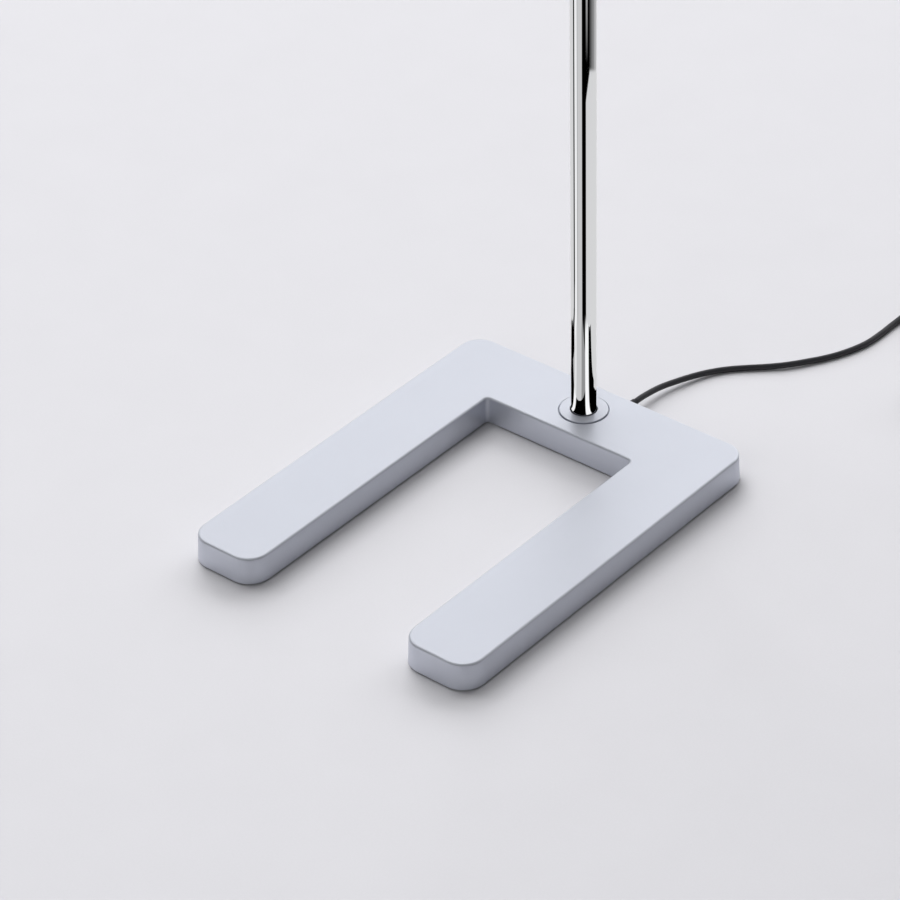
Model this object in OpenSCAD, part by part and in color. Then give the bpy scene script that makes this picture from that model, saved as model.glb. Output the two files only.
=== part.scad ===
// Office floor lamp: a U-shaped cast base, a turning chromed pole and a flat tilting head.
// Millimetres. The origin is the middle of the base's plan at the floor, X runs along the
// back bar, the legs point to -Y and Z is up.

/* [Base casting] */
// Width over both legs, at the top edge
base_w = 340; // [320:2:380]
// Length from the leg tips to the back, at the top edge
base_l = 434; // [400:2:470]
// Width of each leg
leg_w = 80; // [74:1:92]
// Depth of the back bar that joins the legs
bar_l = 82; // [80:1:96]
// Height of the top face above the floor
base_top = 30; // [29.5:0.5:36]
// Gap between the casting and the floor
floor_gap = 1.4; // [1:0.1:4]
// Radius of the outer corners in plan
corner_r = 22.5; // [16:0.5:28]
// Radius of the inner corners between bar and legs
inner_r = 5; // [3:0.5:10]
// Radius of the rounded top edge
edge_r = 2.2; // [1.6:0.2:5]
// How far each side leans out from top to bottom
side_lean = 1.5; // [0.6:0.1:2.4]
// Chamfer along the bottom edge
foot_chamfer = 0.8; // [0.4:0.1:1.6]

/* [Base underside] */
// Length of the wiring pocket along the bar
pocket_w = 126; // [116:2:150]
// Depth of the wiring pocket from front to back
pocket_l = 56; // [54:0.5:58]
// Wall between the wiring pocket and the back face
pocket_wall = 12; // [11.5:0.1:13]
// Corner radius of the wiring pocket
pocket_r = 6; // [4:0.5:8]
// Width of the ledge that carries the bottom cover
cover_ledge = 8; // [7.5:0.1:8.5]
// Thickness of the bottom cover
cover_t = 1.5; // [1.2:0.1:1.6]
// Width of the gap round the bottom cover
cover_gap = 0.4; // [0.3:0.1:0.6]
// Thread diameter of the bottom cover's screws
cover_screw_d = 3; // [2.5:0.1:3]
// Length of the bottom cover's screws below the head
cover_screw_l = 7; // [5:0.5:8]
// Diameter of a floor glide
glide_d = 22; // [18:1:26]
// Depth of the seat that a floor glide sticks in
glide_seat = 1; // [0.6:0.1:1.6]

/* [Collar ring] */
// Outer diameter of the collar ring
ring_d = 48.4; // [47:0.2:52]
// Hole of the collar ring round the pole
ring_bore_d = 27.8; // [27.4:0.1:29]
// Thickness of the collar ring
ring_t = 3.6; // [3:0.1:4]
// How far the collar ring stands above the casting
ring_proud = 1.1; // [0.4:0.1:1.2]
// Shadow gap round the collar ring
ring_gap = 1; // [0.5:0.1:1.1]
// Chamfer of the recess that holds the collar ring
recess_chamfer = 0.6; // [0.3:0.1:0.9]
// Rounding of the collar ring's upper edge
ring_edge_r = 0.5; // [0.2:0.1:0.8]

/* [Pole foot] */
// Diameter of the foot's flange
flange_d = 42; // [41:0.2:43]
// Thickness of the foot's flange
flange_t = 5.6; // [5:0.1:6]
// Running gap round and above the foot's flange
flange_gap = 0.6; // [0.4:0.1:0.7]
// Outer diameter of the hollow stem below the flange
stem_d = 16; // [15:0.5:16.5]
// Bore for the cable through foot and stem
stem_bore_d = 9; // [8:0.5:10]
// Length of the plug that goes up into the pole
plug_l = 45; // [30:1:70]
// Thickness of the ring that the foot turns on
slip_t = 0.8; // [0.6:0.1:1]
// Inner diameter of the ring that the foot turns on
slip_bore_d = 30; // [29.5:0.1:31]
// Wall of the bush round the stem
bush_wall = 2; // [1.5:0.1:2.4]
// Thickness of the web between foot recess and pocket
web_t = 4.7; // [4.2:0.1:5]
// Thickness of the spring washer under the web
spring_washer_t = 1; // [0.8:0.1:1.2]
// Diameter of the ring nut
ring_nut_d = 30; // [26:0.5:32]
// Thickness of the ring nut
ring_nut_t = 4; // [3.6:0.1:4.2]
// Diameter of the pin that stops the turning
stop_pin_d = 4; // [3.6:0.1:4]
// Distance of the stop pin from the pole's axis
stop_r = 12.2; // [12.1:0.1:12.4]
// Depth of the stop pin in the web
stop_seat = 3; // [2:0.1:3.4]
// Height of the stop pin above the slip ring
stop_rise = 2.6; // [2:0.1:2.8]
// Width of the lug that meets the stop pin
stop_lug_w = 2.1; // [1.6:0.1:2.1]

/* [Pole] */
// Outer diameter of the chromed pole
pole_d = 25; // [25:0.1:25.4]
// Wall of the chromed pole
pole_wall = 1.5; // [1.2:0.1:2]
// Height of the tilt hinge above the floor
hinge_z = 1880; // [1600:10:2000]
// Diameter of the cable inside the pole
cable_d = 5; // [4:0.5:5]
// Bore that the cable runs in, in yoke and arm
cable_bore_d = 6.4; // [6:0.1:6.6]

/* [Tilt hinge] */
// Diameter of the hinge barrel
barrel_d = 28; // [27:0.5:30]
// Length of the hinge barrel
barrel_l = 34; // [32:0.5:40]
// Height of the neck between pole and hinge axis
neck_h = 26; // [24:1:34]
// Length of the yoke's plug inside the pole
yoke_plug_l = 40; // [30:1:60]
// Thickness of the arm's eye in the barrel
eye_t = 12; // [11:0.2:13]
// Thickness of each friction washer beside the eye
friction_t = 0.3; // [0.2:0.1:0.6]
// Outer diameter of the hollow hinge pin
hinge_pin_d = 12; // [11.6:0.1:12.6]
// Bore of the hollow hinge pin
hinge_pin_bore = 7.6; // [7.2:0.1:8]
// Diameter of the caps that close the hinge pin
hinge_cap_d = 17; // [15:0.5:20]
// Thickness of the caps that close the hinge pin
hinge_cap_t = 2; // [1.5:0.1:3]
// Largest tilt of the head either way, in degrees
tilt_max = 20; // [10:1:24]

/* [Head arm] */
// Height of the arm between the hinge and the head
arm_h = 16; // [14:0.5:18]
// Width of the arm's foot plate
arm_foot_w = 70; // [60:1:90]
// Length of the arm's foot plate inside the head
arm_foot_l = 46; // [40:1:60]
// Thickness of the arm's foot plate
arm_foot_t = 5; // [4:0.2:6]
// Thread diameter of the arm's screws
arm_screw_d = 4; // [3:0.5:4]

/* [Head housing] */
// Width of the head
head_w = 560; // [500:10:640]
// Depth of the head
head_l = 290; // [270:2:300]
// Thickness of the head
head_h = 30; // [29:0.5:34]
// Distance from the hinge axis to the head's rear face
head_back = 30; // [26:1:34]
// How far the head's middle lies below the hinge axis
head_drop = 4; // [3:0.5:5]
// Radius of the head's corners in plan
head_corner_r = 22.5; // [16:0.5:28]
// Radius of the head's outer edges
head_edge_r = 2; // [1:0.2:2.4]
// Wall of the head's frame
head_wall = 3; // [2.6:0.1:3.4]
// Thickness of the web that carries the boards
head_web_t = 3; // [2.5:0.1:3.5]
// Distance from the web's top down from the hinge axis
web_drop = 5; // [4.6:0.1:5.4]
// Width of the ledges that carry the panels
ledge_w = 8; // [7:0.5:9]
// Thickness of the ledges that carry the panels
ledge_t = 2; // [1.5:0.1:2.4]
// Gap round a panel or trim in the frame
panel_gap = 0.3; // [0.2:0.1:0.6]
// Thickness of the clear upper cover
top_cover_t = 2.5; // [2:0.1:3]
// Thickness of the prismatic lower panel
diffuser_t = 3; // [2.5:0.1:3.2]
// Thickness of the trim frame under the lower panel
trim_t = 1.5; // [1.2:0.1:1.8]
// Width of the trim frame on three sides
trim_w = 12; // [10:0.5:14]
// Width of the trim's sensor band at the rear
band_w = 40; // [38:1:46]
// Diameter of the corner pillars for the cover screws
pillar_d = 9; // [8:0.5:10]
// Thread diameter of the head's small screws
head_screw_d = 3; // [2.5:0.1:3]
// Number of trim screws along each long side
trim_screw_count = 5; // [3:1:7]

/* [Lighting and driver] */
// Thickness of a circuit board
board_t = 1.6; // [1:0.1:1.8]
// Margin between the downlight board and the frame's sides
board_margin = 30; // [20:1:44]
// Side of a light-emitting diode
led_side = 3; // [2:0.1:3.5]
// Height of a light-emitting diode
led_h = 0.8; // [0.5:0.1:1]
// Rows of downlight diodes from front to back
led_rows = 5; // [3:1:7]
// Columns of downlight diodes from side to side
led_columns = 10; // [6:1:14]
// Width of an uplight board
strip_w = 22; // [16:1:30]
// Length of an uplight board
strip_l = 190; // [150:2:210]
// Distance of an uplight board from the middle of the head
strip_x = 170; // [120:2:200]
// Diodes on each uplight board
strip_leds = 12; // [6:1:16]
// Width of the driver
driver_w = 62; // [50:1:80]
// Length of the driver
driver_l = 150; // [120:1:170]
// Height of the driver
driver_h = 11; // [9:0.2:11.4]
// Gap between the arm's foot and the driver
driver_gap = 14; // [8:1:24]
// Diameter of the leads from the driver to the boards
lead_d = 1.8; // [1.2:0.1:2.4]
// Diameter of the sensor's lens
sensor_d = 20; // [16:0.5:24]
// Height of the sensor's dome below the trim
sensor_dome = 4; // [2:0.2:6]
// Thickness of the flange that holds the sensor's lens
sensor_flange_t = 1.2; // [0.8:0.1:1.6]

/* [Keypad] */
// Height of the keypad's middle above the floor
keypad_z = 1150; // [900:10:1300]
// Width of the keypad housing
keypad_w = 40; // [40:0.5:48]
// Height of the keypad housing
keypad_h = 92; // [88:1:120]
// Depth of the front shell in front of the pole's axis
keypad_front = 23.8; // [23.6:0.1:26]
// Depth of the back shell behind the pole's axis
keypad_back = 17; // [16:0.5:20]
// Radius of the keypad's upright edges
keypad_r = 9; // [6:0.5:10]
// Rounding of the keypad's top and bottom edges
keypad_edge = 1.6; // [0.8:0.1:2]
// Wall of the front shell over the keys
keypad_wall = 2.5; // [2:0.1:2.7]
// Width of the keypad's cavity
cavity_w = 24; // [23.6:0.1:24.4]
// Height of the keypad's cavity
cavity_h = 76; // [74:1:78]
// Width of a key
key_w = 18; // [16:0.5:20]
// Height of a key
key_h = 16; // [14:0.5:17]
// Distance from one key to the next
key_pitch = 23; // [22:0.5:24]
// Corner radius of a key
key_r = 3; // [2:0.5:5]
// Gap round a key
key_gap = 0.3; // [0.3:0.05:0.5]
// Travel of a key
key_travel = 0.8; // [0.5:0.1:0.8]
// How far a key stands out of the shell
key_proud = 1.4; // [1.2:0.1:2]
// Thickness of a key's retaining flange
key_flange_t = 1.2; // [1:0.1:1.4]
// Width of a key's retaining flange
key_flange_w = 1.2; // [0.8:0.1:1.4]
// Side of a switch on the keypad's board
switch_side = 6; // [5:0.5:7]
// Height of a switch body
switch_h = 2.5; // [2:0.1:2.6]
// Diameter of a switch plunger
plunger_d = 3; // [2.4:0.2:4]
// Height of a switch plunger
plunger_h = 0.7; // [0.5:0.1:0.8]
// Thread diameter of the keypad's screws
keypad_screw_d = 3; // [2.5:0.1:3]

/* [Mains cord] */
// Diameter of the mains cord
cord_d = 6.2; // [6:0.1:6.8]
// Height of the cord's exit above the floor
exit_z = 10; // [9.8:0.1:10.2]
// Sideways place of the cord's exit
exit_x = 15; // [14.5:0.5:15.5]
// Length of the strain relief outside the base
relief_l = 23; // [20:0.5:30]
// Diameter of the strain relief's collar
relief_d = 9.6; // [9.4:0.1:9.7]
// Diameter of the strain relief's tip
relief_tip_d = 7.8; // [7.4:0.1:8.4]
// Diameter of the strain relief in the wall
shank_d = 8.2; // [8:0.1:8.4]
// Thickness of the strain relief's collar
relief_collar_t = 2.4; // [2:0.1:3]
// Diameter of an insulated core
core_d = 2.2; // [1.8:0.1:2.4]
// Number of turns in the stored coil
coil_turns = 7.5; // [5.5:2:9.5]
// Free space between neighbouring turns
coil_gap = 0.5; // [0.45:0.05:1]
// Radius of the coil at the middle of its turns
coil_mid_r = 37.2; // [36:0.2:40]
// Width of the band that ties the coil
tie_w = 9; // [6:0.5:14]
// Thickness of the band that ties the coil
tie_t = 0.8; // [0.6:0.1:1.2]
// Space between the band and the coil
tie_gap = 0.3; // [0.3:0.05:0.6]

/* [Mains plug] */
// Diameter of the plug's face
plug_face_d = 36.8; // [35:0.2:38]
// Length of the plug's thick front part
plug_front_l = 17; // [14:0.5:20]
// Length of the plug's body
plug_body_l = 52; // [46:1:60]
// Diameter of the plug's narrow rear end
plug_rear_d = 13; // [11:0.5:16]
// Diameter of a plug pin
plug_pin_d = 4.8; // [4:0.1:4.8]
// Length of a plug pin
plug_pin_l = 19; // [17:0.5:20]
// Distance between the two plug pins
plug_pin_pitch = 19; // [18.4:0.1:19.4]
// Width of the earth contact's groove
earth_w = 5; // [4:0.2:6]
// Depth of the earth contact's groove
earth_depth = 2.2; // [1.6:0.1:2.6]

/* [Hidden] */

// Colours
lacquer = [0.78, 0.8, 0.84];
glide_black = [0.12, 0.12, 0.13];
coated_black = [0.2, 0.2, 0.21];
zinc_steel = [0.6, 0.6, 0.62];
natural_plastic = [0.93, 0.92, 0.88];
turned_steel = [0.65, 0.65, 0.67];
cord_black = [0.15, 0.15, 0.16];
core_brown = [0.5, 0.3, 0.15];
board_white = [0.93, 0.93, 0.92];
brass = [0.8, 0.65, 0.3];
rubber_black = [0.1, 0.1, 0.11];
plug_black = [0.13, 0.13, 0.14];
nickel = [0.75, 0.75, 0.76];
chrome = [0.85, 0.86, 0.88];
cable_white = [0.9, 0.9, 0.9];
keypad_black = [0.16, 0.16, 0.17];
board_green = [0.1, 0.35, 0.2];
switch_black = [0.2, 0.2, 0.2];
key_grey = [0.85, 0.85, 0.86];
diode_yellow = [0.95, 0.85, 0.4];
driver_grey = [0.88, 0.88, 0.87];
lead_red = [0.7, 0.15, 0.12];
prismatic = [0.9, 0.92, 0.94, 0.7];
lens_white = [0.95, 0.95, 0.95];
can_metal = [0.7, 0.7, 0.7];
clear_acrylic = [0.9, 0.93, 0.95, 0.5];

// Shared clearances and smoothness
fit = 0.05;
seat_gap = 0.3;
screw_pass = 0.2;
over = 1;
round_fn = 96;
small_fn = 48;

// Screw heads follow their thread
head_dia_share = 1.9;
head_height_share = 0.62;
socket_share = 0.5;

// Base, worked out
lean_h = base_top - floor_gap;
lean_angle = atan(side_lean / lean_h);
edge_in = edge_r * (1 - sin(lean_angle)) / cos(lean_angle);
strip = max(corner_r, edge_r * 2);
half_w = base_w / 2;
half_l = base_l / 2;
leg_in = half_w - leg_w;
bar_front = half_l - bar_l;
pole_y = half_l - bar_l / 2;

// Heights through the foot, from the ring down
recess_d = ring_d + 2 * ring_gap;
ring_top = base_top + ring_proud;
ring_seat = ring_top - ring_t;
flange_top = ring_seat - flange_gap;
flange_z = flange_top - flange_t;
web_top = flange_z - slip_t;
pocket_top = web_top - web_t;
washer_z = pocket_top - spring_washer_t;
nut_z = washer_z - ring_nut_t;
cover_top = floor_gap + cover_t;
foot_recess_d = flange_d + 2 * flange_gap;
bush_d = stem_d + 2 * fit + 2 * bush_wall;
stop_groove_w = stop_pin_d + 2 * seat_gap;
stop_groove_h = stop_rise + seat_gap;

// Pocket and cover, worked out
pocket_back = half_l - pocket_wall;
pocket_y = pocket_back - pocket_l / 2;
cover_w = pocket_w + 2 * cover_ledge;
cover_l = pocket_l + 2 * cover_ledge;
cover_screw_x = pocket_w / 2 + cover_ledge / 2;
cover_screw_y = pocket_l / 2 + cover_ledge / 2;
cover_side_share = 0.33;
cover_front_share = 0.25;

// Cord, worked out
cord_r = cord_d / 2;
clamp_l = 7;
clamp_w = 28;
clamp_strap_t = 1;
clamp_head_sink = 2.4;
clamp_screw_x = 9.5;
lead_end_gap = 1.5;
core_gap = 0.2;
core_pitch = core_d + core_gap;
core_bend_r = 6;
core_start_l = 2;
pole_core_bend_r = 2.4;
terminal_w = 28;
terminal_rim = 2.6;
terminal_slot_w = 0.6;
terminal_h = 9;
terminal_x = 30;
terminal_screw_d = 3.4;
terminal_screw_h = 1.6;
terminal_screw_pitch = 8;
relief_flange_t = 1.2;
relief_shoulder_d = 9;
core_start_y = pocket_back - clamp_l - lead_end_gap;
core_bend_x = exit_x + core_pitch + core_bend_r;
core_bend_y = core_start_y - core_start_l;
terminal_front = pole_y - core_pitch - terminal_rim;
terminal_back = core_bend_y - core_bend_r + terminal_rim;

// The cord's free route from the strain relief to the coil, chosen by hand
cord_route = [[15, 240, 10], [15, 247, 10], [15.5, 262, 9.1], [17.5, 280, 7.8], [22, 298, 6.3],
    [28.5, 317, 5.1], [36.5, 335, 3.9], [47.5, 351.5, 3.2], [61.5, 366, 3.1], [77, 380, 3.3],
    [91.5, 394.5, 3.9], [105, 413.5, 3.6], [117, 433.5, 3.1], [127, 456, 3.1], [133, 478, 3.1],
    [134.5, 500, 3.1], [134.5, 520, 3.1], [135, 542, 3.6], [135.5, 558, 4.2], [135.5, 565, 4.2]];
// The cord's route from the coil's end to the plug, as steps from the coil's end
tail_steps = [[0, 0, 0], [0, -7, 0], [0, -16, 1], [0, -30, 3.7], [0, -44, 6.5], [0, -57, 7.5],
    [0, -64, 7.5]];
cord_sides = 12;

// The coil: it spirals in on the lower layer and out again on the upper one, with straight ends
coil_pitch = cord_d + coil_gap;
coil_out_r = coil_mid_r + coil_pitch * coil_turns / 4;
coil_steps = 24;
coil_sides = 6;
coil_low_z = tie_t + tie_gap + cord_r;
coil_end_l = 7;
route_end = cord_route[len(cord_route) - 1];
coil_centre = [route_end.x + coil_out_r, route_end.y + coil_end_l];
half_climb = 0.25;
coil_climb = [coil_turns / 2 - half_climb, coil_turns / 2 + half_climb];
tail_start = [coil_centre.x + coil_out_r, coil_centre.y - coil_end_l, coil_low_z + coil_pitch];

// Plug, worked out
plug_y = tail_start.y + tail_steps[len(tail_steps) - 1].y;
plug_z = plug_face_d / 2;
plug_waist_share = 0.56;
plug_shoulder_share = 0.86;
plug_bevel = 3.2;
plug_pin_tip = 2.4;
plug_pin_tip_d = 3.2;
plug_pin_seat = 8;
earth_strip_t = 0.8;

// Pole and hinge, worked out
ring_nut_notch = 2;
tube_bore_d = pole_d - 2 * pole_wall;
tube_top = hinge_z - neck_h;
hinge_slot_w = eye_t + 2 * friction_t;
eye_gap = 0.5;
slot_r = barrel_d / 2 + eye_gap;
tilt_steps = 4;
friction_inset = 1;
friction_d = barrel_d - 2 * friction_inset;
pin_end_gap = 0.3;
cap_spigot_l = 4;
elbow_gap = 0.2;

// Head, worked out
head_bottom = hinge_z - head_drop - head_h / 2;
head_top = head_bottom + head_h;
web_z = hinge_z - web_drop - head_web_t;
web_face = hinge_z - web_drop;
head_rear = pole_y - head_back;
head_y = head_rear - head_l / 2;
inner_w = head_w - 2 * head_wall;
inner_l = head_l - 2 * head_wall;
inner_corner_r = head_corner_r - head_wall;
inner_rear = head_rear - head_wall;
panel_lift = 0.1;
diffuser_z = head_bottom + trim_t + panel_lift;
lower_ledge_z = diffuser_z + diffuser_t + panel_lift;
trim_screw_l = lower_ledge_z + ledge_t - head_bottom;
top_cover_z = head_top - top_cover_t;
board_w = inner_w - 2 * board_margin;
board_l = inner_l - 2 * band_w;
board_z = web_z - board_t;
led_margin_share = 0.9;
pillar_in = 8;
arm_screw_in = 10;
arm_screw_side = 9;
arm_screw_x = arm_foot_w / 2 - arm_screw_side;
trim_open_r = 6;
sensor_y = head_y + inner_l / 2 - band_w / 2;
sensor_can_d = 8;
sensor_can_h = 3;
sensor_flange_w = 3;
head_screw_l = 8;
driver_corner_r = 4;
driver_y = inner_rear - arm_foot_l - driver_gap - driver_l / 2;
driver_hole_d = 4;

// Keypad, worked out
board_y = -(pole_d / 2 + seat_gap);
switch_y = board_y - board_t;
plunger_y = switch_y - switch_h;
key_seat_y = -(keypad_front - keypad_wall);
key_boss_y = plunger_y - plunger_h - key_travel - 2 * fit;
key_boss_d = 6;
keypad_screw_x = (keypad_w / 2 + pole_d / 2) / 2;
keypad_screw_end = 10;
keypad_screw_z = keypad_h / 2 - keypad_screw_end;
keypad_screw_l = 20;
keypad_head_sink = 4;
keypad_board_gap = 0.3;
keypad_lead_d = 2.4;
keypad_hole_d = 4;

// Glides sit near the leg tips, in mid leg and at the back corners
glide_inset = 26;
glide_y_shares = [-1, 0, 1];

// Direction of travel from each point of a route to the next
function unit(v) = v / norm(v);
function heading(p, i) = unit(p[min(i + 1, len(p) - 1)] - p[max(i - 1, 0)]);
function square_to(n, t) = unit(n - (n * t) * t);
function carried(p, n, i = 0) =
    i == len(p) ? [] : let (m = square_to(n, heading(p, i))) concat([m], carried(p, m, i + 1));
function ring_at(c, t, n, r, sides) =
    [for (k = [0 : sides - 1]) let (a = 360 * k / sides) c + r * (cos(a) * n + sin(a) * cross(t, n))];

// A round tube along a route, with a ring of points at each point of the route
module tube(route, r, sides) {
    n = carried(route, [0, 0, 1]);
    last = len(route) - 1;
    points = [for (i = [0 : last]) each ring_at(route[i], heading(route, i), n[i], r, sides)];
    start_cap = [for (k = [1 : sides - 2]) [0, k, k + 1]];
    end_cap = [for (k = [1 : sides - 2]) [last * sides, last * sides + k + 1, last * sides + k]];
    skin = [for (i = [0 : last - 1], k = [0 : sides - 1])
        let (a = i * sides + k, b = i * sides + (k + 1) % sides)
        each [[a, a + sides, b], [b, a + sides, b + sides]]];
    polyhedron(points = points, faces = concat(start_cap, skin, end_cap));
}

// The coil's centre line: s counts turns, clockwise seen from above, from the cord's arrival
function ease(t) = t <= 0 ? 0 : t >= 1 ? 1 : t * t * (3 - 2 * t);
function coil_radius(s) = coil_out_r - coil_pitch * min(s, coil_turns - s);
function coil_height(s) =
    coil_low_z + coil_pitch * ease((s - coil_climb[0]) / (coil_climb[1] - coil_climb[0]));
function coil_point(s) = let (a = 180 - 360 * s, r = coil_radius(s))
    [coil_centre.x + r * cos(a), coil_centre.y + r * sin(a), coil_height(s)];
coil_start = [coil_centre.x - coil_out_r, coil_centre.y - coil_end_l, coil_low_z];
coil_spiral = [for (k = [0 : coil_steps * coil_turns]) coil_point(k / coil_steps)];
coil_line = concat([coil_start], coil_spiral, [tail_start]);
coil_gaps = [for (i = [0 : len(coil_line) - 1], j = [i + coil_steps / 2 : len(coil_line) - 1])
    norm(coil_line[i] - coil_line[j]) - cord_d];
echo(coil_least_gap = min(coil_gaps), coil_turns = coil_turns);

// Plain shapes that repeat

module rounded_rect(w, l, r) {
    square([w - 2 * r, l], center = true);
    square([w, l - 2 * r], center = true);
    for (x = [-1, 1], y = [-1, 1])
        translate([x * (w / 2 - r), y * (l / 2 - r)]) circle(r = r, $fn = small_fn);
}

module plate(w, l, r, h) {
    linear_extrude(height = h) rounded_rect(w, l, r);
}

// A straight run of a rim profile, with the profile's x pointing to the turn angle
module rim_run(x, y, turn, length) {
    translate([x, y, 0]) rotate([0, 0, turn]) translate([0, length / 2, 0])
        rotate([90, 0, 0]) linear_extrude(height = length) children();
}

// A quarter turn of a rim profile about a corner's centre
module rim_corner(x, y, turn, r) {
    translate([x, y, 0]) rotate([0, 0, turn])
        rotate_extrude(angle = 90, $fn = round_fn) translate([r, 0]) children();
}

// A flat box with round corners in plan and round outer edges, standing on z = 0
module slab_rim(h, r, e) {
    translate([-r, 0]) square([r - e, h]);
    translate([-e, e]) square([e, h - 2 * e]);
    for (z = [e, h - e]) translate([-e, z]) circle(r = e, $fn = small_fn);
}

module slab(w, l, h, r, e) {
    core_w = w - 2 * r;
    core_l = l - 2 * r;
    translate([-core_w / 2, -core_l / 2, 0]) cube([core_w, core_l, h]);
    rim_run(w / 2, 0, 0, core_l) slab_rim(h, r, e);
    rim_run(-w / 2, 0, 180, core_l) slab_rim(h, r, e);
    rim_run(0, l / 2, 90, core_w) slab_rim(h, r, e);
    rim_run(0, -l / 2, 270, core_w) slab_rim(h, r, e);
    rim_corner(core_w / 2, core_l / 2, 0, r) slab_rim(h, r, e);
    rim_corner(-core_w / 2, core_l / 2, 90, r) slab_rim(h, r, e);
    rim_corner(-core_w / 2, -core_l / 2, 180, r) slab_rim(h, r, e);
    rim_corner(core_w / 2, -core_l / 2, 270, r) slab_rim(h, r, e);
}

// A screw with a cylinder head above z = 0 and its shank below
module cap_screw(d, l) {
    head_d = d * head_dia_share;
    head_h = d * head_height_share;
    difference() {
        union() {
            cylinder(d = head_d, h = head_h, $fn = small_fn);
            translate([0, 0, -l]) cylinder(d = d, h = l, $fn = small_fn);
        }
        translate([0, 0, head_h / 2]) cylinder(d = head_d * socket_share, h = head_h, $fn = 6);
    }
}

// A countersunk screw with its flat face at z = 0 and its shank below
module sunk_screw(d, l) {
    head_d = d * head_dia_share;
    head_h = (head_d - d) / 2;
    difference() {
        union() {
            translate([0, 0, -head_h]) cylinder(d1 = d, d2 = head_d, h = head_h, $fn = small_fn);
            translate([0, 0, -l]) cylinder(d = d, h = l, $fn = small_fn);
        }
        translate([0, 0, -head_h * socket_share]) cylinder(d = d * socket_share, h = head_h, $fn = 6);
    }
}

// The hole for a countersunk screw, cut down from z = 0
module sunk_hole(d, l) {
    head_d = d * head_dia_share + 2 * fit;
    head_h = (head_d - d) / 2;
    translate([0, 0, -head_h]) cylinder(d1 = d, d2 = head_d, h = head_h, $fn = small_fn);
    translate([0, 0, -l]) cylinder(d = d + 2 * fit, h = l + over, $fn = small_fn);
    cylinder(d = head_d, h = over, $fn = small_fn);
}

module ring(outer_d, inner_d, h) {
    difference() {
        cylinder(d = outer_d, h = h, $fn = round_fn);
        translate([0, 0, -over]) cylinder(d = inner_d, h = h + 2 * over, $fn = round_fn);
    }
}

// A quarter turn of round wire
module quarter_bend(r, d) {
    rotate_extrude(angle = 90, $fn = small_fn) translate([r, 0]) circle(d = d, $fn = small_fn);
}

// Places that repeat

module at_pole() {
    translate([0, pole_y, 0]) children();
}

module at_hinge() {
    translate([0, pole_y, hinge_z]) children();
}

module at_glides() {
    for (x = [-1, 1], share = glide_y_shares)
        translate([x * (half_w - leg_w / 2), share * (half_l - glide_inset), 0]) children();
}

module at_cover_screws() {
    for (x = [-1, 1], y = [-1, 1])
        translate([x * cover_screw_x, pocket_y + y * pocket_l * cover_side_share, 0]) children();
    for (x = [-1, 1]) translate([x * pocket_w * cover_front_share, pocket_y - cover_screw_y, 0]) children();
}

module at_clamp_screws() {
    for (x = [-1, 1]) translate([exit_x + x * clamp_screw_x, pocket_back - clamp_l / 2, 0]) children();
}

// Base casting: each side leans outward and its top edge is round

module casting_rim() {
    polygon([
        [-strip, floor_gap],
        [side_lean - foot_chamfer, floor_gap],
        [side_lean * (1 - foot_chamfer / lean_h), floor_gap + foot_chamfer],
        [-edge_in + edge_r * cos(lean_angle), base_top - edge_r + edge_r * sin(lean_angle)],
        [-edge_in, base_top - edge_r],
        [-edge_in, base_top],
        [-strip, base_top]]);
    translate([-edge_in, base_top - edge_r]) circle(r = edge_r, $fn = small_fn);
}

// The inner corner between bar and leg, round the other way
module casting_inner_corner(x, y, turn) {
    block = inner_r + strip;
    cleared = inner_r + strip / 2;
    translate([x, y, 0]) rotate([0, 0, turn]) {
        rotate_extrude(angle = 90, $fn = round_fn) translate([inner_r, 0]) mirror([1, 0]) casting_rim();
        difference() {
            translate([0, 0, floor_gap]) cube([block, block, lean_h]);
            translate([0, 0, floor_gap - over]) cylinder(r = cleared, h = lean_h + 2 * over, $fn = round_fn);
        }
    }
}

module casting_leg(side) {
    leg_run = base_l - 2 * strip;
    inner_run = bar_front - inner_r + half_l - strip;
    core_w = leg_w - 2 * strip;
    core_x = side > 0 ? leg_in + strip : -half_w + strip;
    outward = side > 0 ? 0 : 180;
    translate([core_x, -half_l + strip, floor_gap]) cube([core_w, leg_run, lean_h]);
    rim_run(side * half_w, 0, outward, leg_run) casting_rim();
    rim_run(side * leg_in, -half_l + strip + inner_run / 2, 180 - outward, inner_run) casting_rim();
    rim_run(side * (half_w - leg_w / 2), -half_l, 270, core_w) casting_rim();
    rim_corner(core_x, -half_l + strip, 180, strip) casting_rim();
    rim_corner(core_x + core_w, -half_l + strip, 270, strip) casting_rim();
    rim_corner(side * (half_w - strip), half_l - strip, side > 0 ? 0 : 90, strip) casting_rim();
    casting_inner_corner(side * (leg_in - inner_r), bar_front - inner_r, side > 0 ? 0 : 90);
}

module casting_bar() {
    bar_run = base_w - 2 * strip;
    front_run = 2 * (leg_in - inner_r);
    translate([-bar_run / 2, bar_front + strip, floor_gap]) cube([bar_run, bar_l - 2 * strip, lean_h]);
    rim_run(0, half_l, 90, bar_run) casting_rim();
    rim_run(0, bar_front, 270, front_run) casting_rim();
}

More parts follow.
